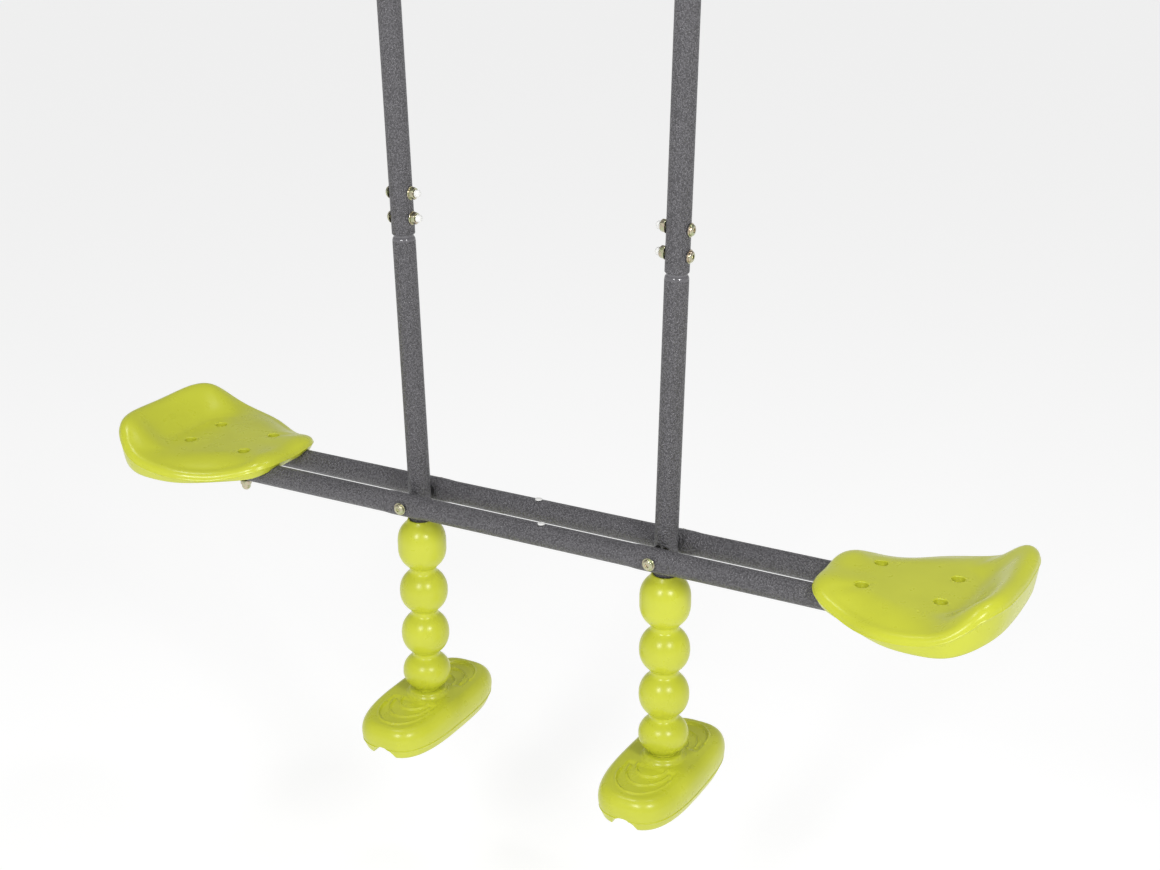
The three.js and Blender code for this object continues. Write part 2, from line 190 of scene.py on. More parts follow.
def circle(radius, sides):
    """Points (x, y) round a circle."""
    angles = [2 * math.pi * i / sides for i in range(sides)]
    return [(radius * math.cos(angle), radius * math.sin(angle)) for angle in angles]


def turned(profile, sides=48, close=False):
    """A solid turned from (radius, height) points, from its lower end to its upper end."""
    start = Vector((0, 0, profile[0][1])) if profile[0][0] == 0 else None
    end = Vector((0, 0, profile[-1][1])) if profile[-1][0] == 0 else None
    rims = [point for point in profile if point[0] > 0]
    rings = [[Vector((x, y, z)) for x, y in circle(r, sides)] for r, z in rims]
    return ringed(rings, close, start, end)


def rod(radius, low, high, sides=32):
    """A plain round rod along Z, for cutting holes and grooves."""
    return turned([(0, low), (radius, low), (radius, high), (0, high)], sides)


def arc(centre, radius, first, last, steps=5):
    """Profile points round a centre from one angle to another, in degrees."""
    found = []
    for k in range(steps + 1):
        angle = math.radians(first + (last - first) * k / steps)
        found.append((centre[0] + radius * math.cos(angle), centre[1] + radius * math.sin(angle)))
    return found


def hollow(frames, outlines, wall):
    """A pipe with open ends: outer rings along the frames, then inner rings back."""
    outer = []
    inner = []
    for place, outline in zip(frames, outlines):
        outer.append([place @ Vector((x, y, 0)) for x, y in outline])
        shrink = 1 - wall / max(math.hypot(x, y) for x, y in outline)
        inner.append([place @ Vector((x * shrink, y * shrink, 0)) for x, y in outline])
    return ringed(outer + inner[::-1], close=True)


def smooth_step(value, low, high):
    """0 below low, 1 above high, and a smooth rise between."""
    share = np.clip((value - low) / (high - low), 0, 1)
    return share * share * (3 - 2 * share)


def smooth_loop(knots, count):
    """Evenly spaced points of a closed curve with smooth curvature through the knots. The first two
    columns are the plan, and any others are carried along."""
    knots = np.asarray(knots, float)
    size = len(knots)
    chord = np.roll(knots, -1, 0) - knots
    step = np.linalg.norm(chord[:, :2], axis=1)
    rate = chord / step[:, None]
    before = np.roll(step, 1)
    system = np.zeros((size, size))
    for i in range(size):
        system[i, i - 1] += step[i]
        system[i, i] += 2 * (step[i] + before[i])
        system[i, (i + 1) % size] += before[i]
    target = 3 * (step[:, None] * np.roll(rate, 1, 0) + before[:, None] * rate)
    slope = np.linalg.solve(system, target)
    reach = np.concatenate([[0], np.cumsum(step)])
    where = np.linspace(0, reach[-1], count, endpoint=False)
    index = np.searchsorted(reach, where, side="right") - 1
    after = (index + 1) % size
    length = step[index][:, None]
    t = ((where - reach[index]) / step[index])[:, None]
    return (
        (1 + 2 * t) * (1 - t) ** 2 * knots[index]
        + t * (1 - t) ** 2 * length * slope[index]
        + t ** 2 * (3 - 2 * t) * knots[after]
        + t ** 2 * (t - 1) * length * slope[after]
    )


# ---- pieces ----
def new_mesh(name, shape):
    """A Blender mesh of the shape."""
    mesh = bpy.data.meshes.new(name)
    mesh.from_pydata([tuple(point) for point in shape.points], [], shape.faces)
    mesh.validate()
    return mesh


def applied(piece):
    """Gives the piece the mesh that its modifiers make, and takes them off."""
    depsgraph = bpy.context.evaluated_depsgraph_get()
    mesh = bpy.data.meshes.new_from_object(piece.evaluated_get(depsgraph))
    piece.modifiers.clear()
    piece.data = mesh


def combine(piece, shape, operation):
    """Cuts the shape from the piece, or joins it on."""
    tool = bpy.data.objects.new("tool", new_mesh("tool", shape))
    bpy.context.scene.collection.objects.link(tool)
    change = piece.modifiers.new("combine", "BOOLEAN")
    change.operation = operation
    change.solver = "EXACT"
    change.object = tool
    applied(piece)
    bpy.data.objects.remove(tool)
    if not piece.data.polygons:
        raise RuntimeError(f"{piece.name} has no faces left")


def softened(piece, width, segments=2, angle=40):
    """Rounds the piece's hard edges."""
    change = piece.modifiers.new("soften", "BEVEL")
    change.width = width
    change.segments = segments
    change.limit_method = "ANGLE"
    change.angle_limit = math.radians(angle)
    change.harden_normals = False
    applied(piece)


def shaded(piece, angle=35):
    """Smooth faces, with a sharp edge wherever two faces meet at more than the angle."""
    form = bmesh.new()
    form.from_mesh(piece.data)
    bmesh.ops.remove_doubles(form, verts=form.verts, dist=1e-6)
    bmesh.ops.recalc_face_normals(form, faces=form.faces)
    limit = math.radians(angle)
    for face in form.faces:
        face.smooth = True
    for edge in form.edges:
        edge.smooth = len(edge.link_faces) == 2 and edge.calc_face_angle(0) < limit
    form.to_mesh(piece.data)
    form.free()


def piece_from(shape, name):
    """A new object of the shape, in the scene."""
    piece = bpy.data.objects.new(name, new_mesh(name, shape))
    bpy.context.scene.collection.objects.link(piece)
    return piece


def fitted(piece, node, slot, angle=35):
    """Finishes a piece that stands for a CAD node: shading, material, body, slot."""
    shaded(piece, angle)
    piece.data.materials.clear()
    piece.data.materials.append(finish_named(slot))
    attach(piece, BODY_OF[node])
    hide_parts(node)
    return piece


# ---- finishes ----
def new_finish(name, colour, roughness, metallic=0.0):
    """A material with plain values, and its node tree and shader for what varies over it."""
    finish = bpy.data.materials.new(name)
    finish.use_nodes = True
    shader = finish.node_tree.nodes["Principled BSDF"]
    shader.inputs["Base Color"].default_value = (*colour, 1)
    shader.inputs["Roughness"].default_value = roughness
    shader.inputs["Metallic"].default_value = metallic
    return finish, finish.node_tree, shader


def noise(tree, scale, detail=3.0, roughness=0.5):
    """Noise in the piece's own space, with scale in lumps per metre."""
    place = tree.nodes.new("ShaderNodeTexCoord")
    texture = tree.nodes.new("ShaderNodeTexNoise")
    texture.inputs["Scale"].default_value = scale
    texture.inputs["Detail"].default_value = detail
    texture.inputs["Roughness"].default_value = roughness
    tree.links.new(place.outputs["Object"], texture.inputs["Vector"])
    return texture.outputs["Fac"]


def cells(tree, scale, bend):
    """Rounded cells with wandering edges, with scale in cells per metre."""
    place = tree.nodes.new("ShaderNodeTexCoord")
    drift = tree.nodes.new("ShaderNodeTexNoise")
    drift.inputs["Scale"].default_value = scale * 0.7
    sway = tree.nodes.new("ShaderNodeVectorMath")
    sway.operation = "SCALE"
    sway.inputs["Scale"].default_value = bend
    shifted = tree.nodes.new("ShaderNodeVectorMath")
    shifted.operation = "ADD"
    texture = tree.nodes.new("ShaderNodeTexVoronoi")
    texture.feature = "SMOOTH_F1"
    texture.inputs["Scale"].default_value = scale
    texture.inputs["Smoothness"].default_value = 0.35
    tree.links.new(place.outputs["Object"], drift.inputs["Vector"])
    tree.links.new(drift.outputs["Color"], sway.inputs[0])
    tree.links.new(place.outputs["Object"], shifted.inputs[0])
    tree.links.new(sway.outputs["Vector"], shifted.inputs[1])
    tree.links.new(shifted.outputs["Vector"], texture.inputs["Vector"])
    return texture.outputs["Distance"]


def ranged(tree, source, low, high, bottom=0.0, top=1.0):
    """Maps a value from low..high to bottom..top."""
    node = tree.nodes.new("ShaderNodeMapRange")
    node.inputs["From Min"].default_value = low
    node.inputs["From Max"].default_value = high
    node.inputs["To Min"].default_value = bottom
    node.inputs["To Max"].default_value = top
    tree.links.new(source, node.inputs["Value"])
    return node.outputs["Result"]


def blended(tree, share, first, second):
    """A colour between two, each a fixed colour or another node's output."""
    node = tree.nodes.new("ShaderNodeMix")
    node.data_type = "RGBA"
    tree.links.new(share, node.inputs["Factor"])
    for socket, colour in ((node.inputs[6], first), (node.inputs[7], second)):
        if isinstance(colour, bpy.types.NodeSocket):
            tree.links.new(colour, socket)
        else:
            socket.default_value = (*colour, 1)
    return node.outputs[2]


def bumped(tree, height, distance, strength=1.0, under=None):
    """A bump of the given depth in metres, over another bump where there is one."""
    node = tree.nodes.new("ShaderNodeBump")
    node.inputs["Distance"].default_value = distance
    node.inputs["Strength"].default_value = strength
    tree.links.new(height, node.inputs["Height"])
    if under is not None:
        tree.links.new(under, node.inputs["Normal"])
    return node.outputs["Normal"]


def scaled_colour(colour, share):
    """A lighter or darker version of a colour."""
    return tuple(min(1.0, part * share) for part in colour)


def lime_plastic(settings):
    """Blow-moulded polyethylene: satin, faintly cloudy, with a fine orange peel."""
    colour = tuple(settings.lime)
    finish, tree, shader = new_finish("lime_plastic", colour, settings.lime_roughness)
    cloud = ranged(tree, noise(tree, 14, 4), 0.3, 0.7)
    tone = blended(tree, cloud, scaled_colour(colour, 0.95), scaled_colour(colour, 1.04))
    speck = ranged(tree, noise(tree, 420, 2), 0.68, 0.76, 0, 0.06)
    tree.links.new(blended(tree, speck, tone, scaled_colour(colour, 0.7)), shader.inputs["Base Color"])
    rough = ranged(tree, noise(tree, 60, 5), 0.3, 0.7,
                   settings.lime_roughness - 0.02, settings.lime_roughness + 0.04)
    tree.links.new(rough, shader.inputs["Roughness"])
    wave = bumped(tree, noise(tree, 14, 1), 0.0005, 0.3)
    peel = bumped(tree, noise(tree, 650, 2), 0.00003, 0.4, wave)
    tree.links.new(peel, shader.inputs["Normal"])
    shader.inputs["IOR"].default_value = 1.5
    return finish


def grey_paint(settings):
    """Hammered powder coat: raised rounded cells, with a painted highlight on their tops and painted
    shade in the hollows between them.
    """
    colour = tuple(settings.grey)
    finish, tree, shader = new_finish("grey_paint", colour, settings.grey_roughness)
    cell = cells(tree, 470, 0.0016)
    top = ranged(tree, cell, 0.15, 0.75, 1, 0)
    # Painted highlight and painted shade: the colour runs from half the grey in the hollows between the
    # cells to nearly twice it on their tops.
    cell_highlight_and_shade = blended(tree, top, scaled_colour(colour, 0.5), scaled_colour(colour, 1.75))
    patch = ranged(tree, noise(tree, 9, 4), 0.35, 0.65)
    tone = blended(tree, patch, scaled_colour(colour, 0.9), scaled_colour(colour, 1.08))
    whole = tree.nodes.new("ShaderNodeMix")
    whole.data_type = "RGBA"
    whole.inputs["Factor"].default_value = 0.25
    tree.links.new(cell_highlight_and_shade, whole.inputs[6])
    tree.links.new(tone, whole.inputs[7])
    tree.links.new(whole.outputs[2], shader.inputs["Base Color"])
    rough = ranged(tree, cell, 0.1, 0.8, settings.grey_roughness - 0.08, settings.grey_roughness + 0.12)
    tree.links.new(rough, shader.inputs["Roughness"])
    grain = bumped(tree, noise(tree, 1500, 2), 0.00005, 0.6)
    hammer = bumped(tree, top, 0.0011, under=grain)
    tree.links.new(hammer, shader.inputs["Normal"])
    return finish


def smooth_paint_painted_glint(settings):
    """The same paint where it has flowed smooth over a tight curve, made a fifth lighter as a painted
    highlight for the glint on the shoulder.
    """
    # A fifth lighter than the tube paint: a painted highlight for the shoulder's glint.
    colour = scaled_colour(settings.grey, 1.2)
    finish, tree, shader = new_finish("smooth_paint_painted_glint", colour, 0.16)
    cloud = ranged(tree, noise(tree, 200, 3), 0.3, 0.7)
    tree.links.new(blended(tree, cloud, scaled_colour(colour, 0.9), scaled_colour(colour, 1.1)),
                   shader.inputs["Base Color"])
    tree.links.new(ranged(tree, noise(tree, 400, 2), 0.3, 0.7, 0.12, 0.2), shader.inputs["Roughness"])
    tree.links.new(bumped(tree, noise(tree, 500, 2), 0.00008, 0.5), shader.inputs["Normal"])
    shader.inputs["Specular IOR Level"].default_value = 0.8
    return finish


def yellow_zinc(settings):
    """Zinc plate with a yellow passivation that drifts towards green and rose."""
    colour = tuple(settings.zinc)
    finish, tree, shader = new_finish("yellow_zinc", colour, 0.3, 1.0)
    drift = ranged(tree, noise(tree, 160, 3), 0.35, 0.65)
    green = (colour[0] * 0.86, colour[1] * 1.02, colour[2] * 0.9)
    rose = (min(1, colour[0] * 1.04), colour[1] * 0.94, colour[2] * 1.06)
    tone = blended(tree, drift, green, rose)
    stain = ranged(tree, noise(tree, 600, 4), 0.55, 0.75, 0, 0.5)
    tree.links.new(blended(tree, stain, tone, scaled_colour(colour, 0.55)), shader.inputs["Base Color"])
    tree.links.new(ranged(tree, noise(tree, 350, 3), 0.3, 0.7, 0.2, 0.42), shader.inputs["Roughness"])
    tree.links.new(bumped(tree, noise(tree, 900, 3), 0.00004, 0.5), shader.inputs["Normal"])
    return finish


def plain_plastic(name, colour, roughness):
    """A small moulding with a fine grain and a little tone."""
    finish, tree, shader = new_finish(name, colour, roughness)
    cloud = ranged(tree, noise(tree, 120, 3), 0.3, 0.7)
    tree.links.new(blended(tree, cloud, scaled_colour(colour, 0.9), scaled_colour(colour, 1.06)),
                   shader.inputs["Base Color"])
    tree.links.new(ranged(tree, noise(tree, 300, 3), 0.3, 0.7, roughness - 0.06, roughness + 0.08),
                   shader.inputs["Roughness"])
    tree.links.new(bumped(tree, noise(tree, 1100, 2), 0.00004, 0.6), shader.inputs["Normal"])
    return finish


def black_plastic(settings):
    """Dull nylon of the caps, bushes and spacers."""
    return plain_plastic("black_plastic", tuple(settings.black), 0.55)


def white_plastic(settings):
    """Shinier plastic of the plugs and tip caps."""
    return plain_plastic("white_plastic", tuple(settings.white), 0.35)


FINISH_MAKERS = {
    "lime_plastic": lime_plastic,
    "grey_paint": grey_paint,
    "smooth_paint_painted_glint": smooth_paint_painted_glint,
    "yellow_zinc": yellow_zinc,
    "black_plastic": black_plastic,
    "white_plastic": white_plastic,
}
FINISHES = {}


def finish_named(name):
    """The finish with that name, made the first time it is asked for."""
    if name not in FINISHES:
        FINISHES[name] = FINISH_MAKERS[name](bpy.context.scene.glider_finishes)
    return FINISHES[name]


# ---- hanger tubes ----
def round_frames(start, stop, step, place):
    """Frames every step along a straight run, with close ones at both ends for the rounded rims."""
    rim = 0.7 * MM
    count = max(2, round((stop - start) / step))
    heights = [start, start + rim]
    heights += [start + (stop - start) * k / count for k in range(1, count)]
    heights += [stop - rim, stop]
    return heights, [place(z) for z in heights]


def rounded_outlines(heights, radius, sides):
    """Circles for the heights, a little smaller at the two ends."""
    rim = 0.5 * MM
    sizes = [radius - rim] + [radius] * (len(heights) - 2) + [radius - rim]
    return [circle(size, sides) for size in sizes]


def upper_tube(name, settings):
    """The top half of a hanger, from the splice to above the top pivot."""
    node = f"upper_tube_{name}"
    base = hanger_frame(name)
    half = extent(node).z / 2
    centre = along_hanger(name, node)
    heights, frames = round_frames(centre - half, centre + half, 40 * MM,
                                   lambda z: base @ Matrix.Translation((0, 0, z)))
    outlines = rounded_outlines(heights, TUBE_R, settings.tube_sides)
    tube = piece_from(hollow(frames, outlines, settings.tube_wall), f"painted_{node}")
    bore = rod(8 * MM + FIT, -DRILL, DRILL)
    eye = Matrix.Translation((0, 0, along_hanger(name, f"top_bush_{name}")))
    across = axes((0, 0, 0), (0, 1, 0))
    cutters = bore.moved(base @ eye @ across)
    combine(tube, cutters.joined(*splice_bores(name, base)), "DIFFERENCE")
    return fitted(tube, node, "grey_paint")


def splice_bores(name, base):
    """Cutters for the two bolt holes through a splice."""
    bores = []
    bore = rod(PIVOT_R, -DRILL, DRILL, 24)
    for number in SPLICE_BOLTS:
        height = along_hanger(name, f"splice_nut_{name}_{number}")
        lengthwise = axes((0, 0, height), (1, 0, 0), (0, 1, 0))
        bores.append(bore.moved(base @ lengthwise))
    return bores


def lower_tube(name, settings):
    """The lower half of a hanger: bent at the pivot, with a rolled shoulder in smooth paint lightened as
    a painted highlight, and a swaged neck.
    """
    node = f"lower_tube_{name}"
    pivot = low_pivot(name)
    lean = hanger_axis(name)
    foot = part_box(node)[0].z - RAIL_Z
    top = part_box(node)[1].z - RAIL_Z
    upper_end = along_hanger(name, f"upper_tube_{name}") - extent(f"upper_tube_{name}").z / 2
    shoulder = upper_end - 2.2 * MM
    neck = TUBE_R - settings.tube_wall - 0.4 * MM
    bend = 12 * MM

    def place(z):
        direction = UP.lerp(lean, smooth_step(z, -bend, bend))
        origin = pivot + (lean if z > 0 else UP) * z
        return axes(origin, direction)

    profile = [(TUBE_R - 0.8 * MM, foot), (TUBE_R, foot + 1 * MM)]
    count = 8
    profile += [(TUBE_R, foot * (1 - k / count)) for k in range(1, count)]
    profile += [(TUBE_R, z * MM) for z in (-12, -8, -4, 0, 4, 8, 12)]
    profile += [(TUBE_R, z * MM) for z in (40, 100, 160, 220, 280, 318)]
    curve = settings.shoulder_radius
    profile += [(TUBE_R, shoulder - 7 * MM)]
    profile += arc((TUBE_R - curve, shoulder - 5.5 * MM), curve, 0, 42, 10)
    profile += [(neck, shoulder + 0.8 * MM), (neck, top - 1 * MM), (neck - 0.6 * MM, top)]
    frames = [place(z) for _, z in profile]
    outlines = [circle(r, settings.tube_sides) for r, _ in profile]
    tube = piece_from(hollow(frames, outlines, settings.tube_wall), f"painted_{node}")
    hole = PIVOT_R if name == "left" else OPEN_PIVOT_R
    cutters = rod(hole, -DRILL, DRILL, 40).moved(axes(pivot, (0, 1, 0)))
    combine(tube, cutters.joined(*splice_bores(name, hanger_frame(name))), "DIFFERENCE")
    fitted(tube, node, "grey_paint")
    # The shoulder band takes the smooth paint, lightened there as a painted highlight for its glint.
    tube.data.materials.append(finish_named("smooth_paint_painted_glint"))
    for face in tube.data.polygons:
        height = (face.center - pivot).dot(lean)
        if height > shoulder - 5.6 * MM:
            face.material_index = 1
    return tube


class GLIDER_OT_hanger_tubes(bpy.types.Operator):
    """Make the painted tubes of both hangers"""

    bl_idname = "glider.hanger_tubes"
    bl_label = "Hanger tubes"

    def execute(self, context):
        settings = context.scene.glider_tubes
        for name, _ in SIDES:
            upper_tube(name, settings)
            lower_tube(name, settings)
        return {"FINISHED"}


# ---- rails ----
def pressed_outline(radius, press, sides):
    """A round section squeezed flat by press on its two X sides, and a little taller for it."""
    half = radius - press
    share = min(1.0, press / (1.2 * MM))
    power = 10
    points = []
    for x, y in circle(radius, sides):
        clipped = x / (1 + (abs(x) / half) ** power) ** (1 / power)
        points.append((x + (clipped - x) * share, y * (1 + 0.38 * press / radius)))
    return points


def rail(row, settings):
    """One of the two rails, pressed flat front and back round each pivot bolt."""
    node = f"rail_{row}"
    centre = middle(node)
    half = extent(node).x / 2
    pivots = [low_pivot(name).x for name, _ in SIDES]
    places = set(np.arange(-half, half, 30 * MM)[1:])
    for pivot in pivots:
        places |= set(pivot + np.linspace(-34, 34, 35) * MM)
    inside = sorted(x for x in places if abs(x) < half - 2 * MM)
    heights = [-half, -half + 0.7 * MM, *inside, half - 0.7 * MM, half]
    outlines = []
    for x in heights:
        gap = min(abs(x - pivot) for pivot in pivots)
        press = settings.pivot_press * (1 - smooth_step(gap, 17 * MM, 31 * MM))
        radius = TUBE_R - 0.5 * MM if abs(x) > half - 0.1 * MM else TUBE_R
        outlines.append(pressed_outline(radius, press, settings.tube_sides))
    frames = [axes((x, centre.y, centre.z), (1, 0, 0), (0, 1, 0)) for x in heights]
    tube = piece_from(hollow(frames, outlines, settings.tube_wall), f"painted_{node}")
    bore = rod(PIVOT_R, -DRILL, DRILL, 24)
    cutters = [bore.moved(axes((x, centre.y, centre.z), (0, 1, 0))) for x in pivots]
    for name, _ in SIDES:
        for number in SEAT_BOLTS:
            bolt = middle(f"seat_bolt_{name}_{number}")
            if abs(bolt.y - centre.y) < TUBE_R:
                cutters.append(bore.moved(Matrix.Translation((bolt.x, centre.y, centre.z))))
    plug = middle(f"rail_plug_{row}")
    plug_bore = rod(3.4 * MM, 0, DRILL, 24)
    cutters.append(plug_bore.moved(Matrix.Translation((plug.x, centre.y, centre.z))))
    combine(tube, cutters[0].joined(*cutters[1:]), "DIFFERENCE")
    return fitted(tube, node, "grey_paint")


class GLIDER_OT_rails(bpy.types.Operator):
    """Make the two rails that carry the seats"""

    bl_idname = "glider.rails"
    bl_label = "Rails"

    def execute(self, context):
        for row in ROWS:
            rail(row, context.scene.glider_tubes)
        return {"FINISHED"}


# ---- bead columns ----
def bead_profile(bottom, top, settings):
    """Outer (radius, height) points of a column of beads, from its foot to its open rim. Each bead
    is nearly a ball, and the top one is a ball cut in two with a straight belt between."""
    pitch = settings.bead_pitch
    waist = settings.neck_radius
    first = bottom + settings.foot_bead
    necks = [bottom, first, first + pitch, first + 2 * pitch, top]
    ball_power = 2.2
    blend_power = 10
    steps = 14
    points = []
    for low, high in zip(necks, necks[1:]):
        reach = min(pitch, high - low) / 2
        for belt, first_step, last_step in ((low + reach, -steps, 0), (high - reach, 0, steps)):
            for step in range(first_step, last_step + 1):
                share = math.sin(math.pi / 2 * step / steps)
                ball = settings.bead_radius * max(0.0, 1 - abs(share) ** ball_power) ** (1 / ball_power)
                radius = (waist ** blend_power + ball ** blend_power) ** (1 / blend_power)
                height = belt + share * reach
                if not points or height > points[-1][1] + 0.01 * MM:
                    points.append((radius, height))
    lip = 1.4 * MM
    rim = [point for point in points if point[1] < top - 2.5 * lip]
    mouth = max(waist, rim[-1][0] - 1.2 * lip)
    return rim + arc((mouth - lip, top - lip), lip, 25, 180, 6)


def bead_column(name, settings):
    """A hollow beaded column round the lower tube."""
    node = f"bead_column_{name}"
    low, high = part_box(node)
    bottom = low.z - RAIL_Z
    top = high.z - RAIL_Z
    bore = TUBE_R + 0.6 * MM
    outer = bead_profile(bottom, top, settings)
    profile = [(bore, bottom), (outer[0][0] - 1 * MM, bottom), (outer[0][0], bottom + 0.8 * MM)]
    profile += outer[1:]
    mouth = outer[-1][0]
    profile += [(mouth - 0.4 * MM, top - 5 * MM), (bore + 0.8 * MM, top - 9 * MM), (bore, top - 10 * MM)]
    shape = turned(profile, 72, close=True).moved(Matrix.Translation(low_pivot(name)))
    column = piece_from(shape, f"moulded_{node}")
    return fitted(column, node, "lime_plastic", 50)


class GLIDER_OT_bead_columns(bpy.types.Operator):
    """Make the beaded grips below the rails"""

    bl_idname = "glider.bead_columns"
    bl_label = "Bead columns"

    def execute(self, context):
        for name, _ in SIDES:
            bead_column(name, context.scene.glider_columns)
        return {"FINISHED"}


# ---- footrests ----
def foot_ring(half_x, half_y, count, power):
    """Plan outline of a footrest: a rounded oblong."""
    angle = np.arange(count) * 2 * np.pi / count
    c, s = np.cos(angle), np.sin(angle)
    return np.stack([np.sign(c) * np.abs(c) ** (2 / power) * half_x,
                     np.sign(s) * np.abs(s) ** (2 / power) * half_y], 1)


# Each grip rib is half an oval open towards the column: its tip and its open ends measured
# along the footrest from the column, and its half width, in millimetres.
GRIP_RIBS = ((51, 30, 19), (71, 38, 26), (92, 50, 33))


def rib_relief(plan, settings):
    """How far the grip ribs raise the top at each plan point, and the dished field they lie in."""
    relief = np.zeros(len(plan))
    turn = np.linspace(-math.pi / 2, math.pi / 2, 61)
    x, y = plan[:, 0], np.abs(plan[:, 1])
    for tip, end, half in GRIP_RIBS:
        oval_x = half * MM * np.sin(turn)
        oval_y = (end + (tip - end) * np.cos(turn)) * MM
        gap = np.min(np.hypot(x[:, None] - oval_x, y[:, None] - oval_y), axis=1)
        relief = np.maximum(relief, settings.rib_height * np.exp(-(gap / (settings.rib_width / 2)) ** 2))
    tip, end, half = GRIP_RIBS[-1]
    oval = np.hypot(x / (half * MM), np.maximum(0, y - end * MM) / ((tip - end) * MM))
    field = (1 - smooth_step(oval, 0.92, 1.04)) * smooth_step(y, 26 * MM, 34 * MM)
    return relief - settings.dish_depth * field


def footrest_body(bottom, shoulder, settings):
    """The footrest's shell: a thin base edge, a wall with a parting line, a rounded edge and the
    ribbed top, which falls away towards both ends."""
    half_x = settings.foot_half_width
    half_y = settings.foot_half_length
    power = settings.foot_power
    count = 280
    seam = bottom + 13 * MM
    wall_top = bottom + 23 * MM
    edge = 13 * MM
    edge_steps = 12
    top_rings = 105

    # How far in from the widest outline each ring of the base lies, and its height, in millimetres.
    base = ((28, 0), (14, 0), (8.6, 0.1), (6.6, 0.8), (5.2, 2.2), (4.2, 4.4), (3.1, 7.4), (2.2, 10.6))
    rings = [(inset * MM, bottom + height * MM) for inset, height in base]
    rings += [(1.6 * MM, seam - 1 * MM), (0.8 * MM, seam - 0.3 * MM), (0.8 * MM, seam + 0.3 * MM),
              (1.4 * MM, seam + 1 * MM)]
    rings += [(0.4 * MM, bottom + 18 * MM), (0, wall_top)]
    rise = shoulder - wall_top
    for step in range(1, edge_steps + 1):
        angle = math.pi / 2 * step / edge_steps
        rings.append((edge * (1 - math.cos(angle)), wall_top + rise * math.sin(angle) ** 0.9))

    def fall(plan, share):
        return settings.end_fall * share * (plan[:, 1] / half_y) ** 2

    skins = []
    for inset, height in rings:
        plan = foot_ring(half_x - inset, half_y - inset, count, power)
        share = max(0, (height - seam) / (shoulder - seam))
        skins.append(np.column_stack([plan, height - fall(plan, share)]))
    inner = foot_ring(half_x - edge, half_y - edge, count, power)
    for share in np.linspace(1, 0.1, top_rings)[1:]:
        plan = inner * share
        lift = rib_relief(plan, settings) * smooth_step(1 - share, 0, 0.04)
        skins.append(np.column_stack([plan, shoulder - fall(plan, 1) + lift]))
    return ringed([[Vector(point) for point in skin] for skin in skins],
                  start=Vector((0, 0, bottom)), end=Vector((0, 0, shoulder)))


def footrest_collar(shoulder, top):
    """The raised ring that the column stands on, with a small fillet at its foot."""
    radius = 26 * MM
    fillet = 3 * MM
    rounding = 3.2 * MM
    foot = radius + fillet
    flare = [(0, shoulder - fillet), (foot, shoulder - fillet), (foot, shoulder - 0.2 * MM)]
    flare += arc((foot, shoulder + fillet), fillet, 265, 200, 5)
    flare += arc((radius - 4.4 * MM, top - rounding), rounding, 0, 90, 7) + [(0, top)]
    return turned(flare, 64)


def footrest(name, settings):
    """A moulded footrest with a collar, grip ribs and an arched channel underneath."""
    node = f"footrest_{name}"
    low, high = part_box(node)
    bottom = low.z - RAIL_Z
    collar_top = high.z - RAIL_Z
    shoulder = collar_top - settings.collar_height
    place = Matrix.Translation(low_pivot(name))
    rest = piece_from(footrest_body(bottom, shoulder, settings).moved(place), f"moulded_{node}")
    combine(rest, footrest_collar(shoulder, collar_top).moved(place), "UNION")

    clear = 5 * MM
    reach = settings.foot_half_length + 2 * clear
    channel_middle = axes((0, 0, bottom - 3 * MM), (0, 1, 0))
    channel = rod(settings.channel_radius, -reach, reach, 48).moved(channel_middle)
    tube_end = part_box(f"lower_tube_{name}")[0].z - RAIL_Z
    socket = rod(TUBE_R + FIT, tube_end - FIT, collar_top + clear, 48)
    screw_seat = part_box(f"foot_screw_{name}")[0].z - RAIL_Z + FOOT_M6["head_height"] + FIT
    screw_top = screw_seat + DRILL
    spot_r = 8 * MM
    screw_r = 3.4 * MM
    spot = turned([(0, bottom - clear), (spot_r, bottom - clear), (spot_r, screw_seat),
                   (screw_r, screw_seat), (screw_r, screw_top), (0, screw_top)], 32)
    for cutter in (channel, socket, spot):
        combine(rest, cutter.moved(place), "DIFFERENCE")
    return fitted(rest, node, "lime_plastic", 38)


class GLIDER_OT_footrests(bpy.types.Operator):
    """Make the moulded footrests"""

    bl_idname = "glider.footrests"
    bl_label = "Footrests"

    def execute(self, context):
        for name, _ in SIDES:
            footrest(name, context.scene.glider_footrests)
        return {"FINISHED"}


# ---- seats ----
# Half of a seat's rim from the nose to the outer end, in millimetres: distance outward from
# the seat bolts' middle, distance from the centre line, height of the rim's crest and of its
# lower edge above the rail axis.
SEAT_RIM = (
    (-100, 0, 28, 9),
    (-100, 22, 29, 9),
    (-97, 43, 29, 8),
    (-86, 62, 26, 4),
    (-60, 78, 18, 0),
    (-29, 95, 14, -2),
    (6, 111, 17, -3),
    (46, 117, 23, -2),
    (82, 113, 36, 2),
    (108, 96, 56, 11),
    (122, 72, 62, 17),
    (127, 38, 62, 18),
    (128, 0, 61, 18),
)


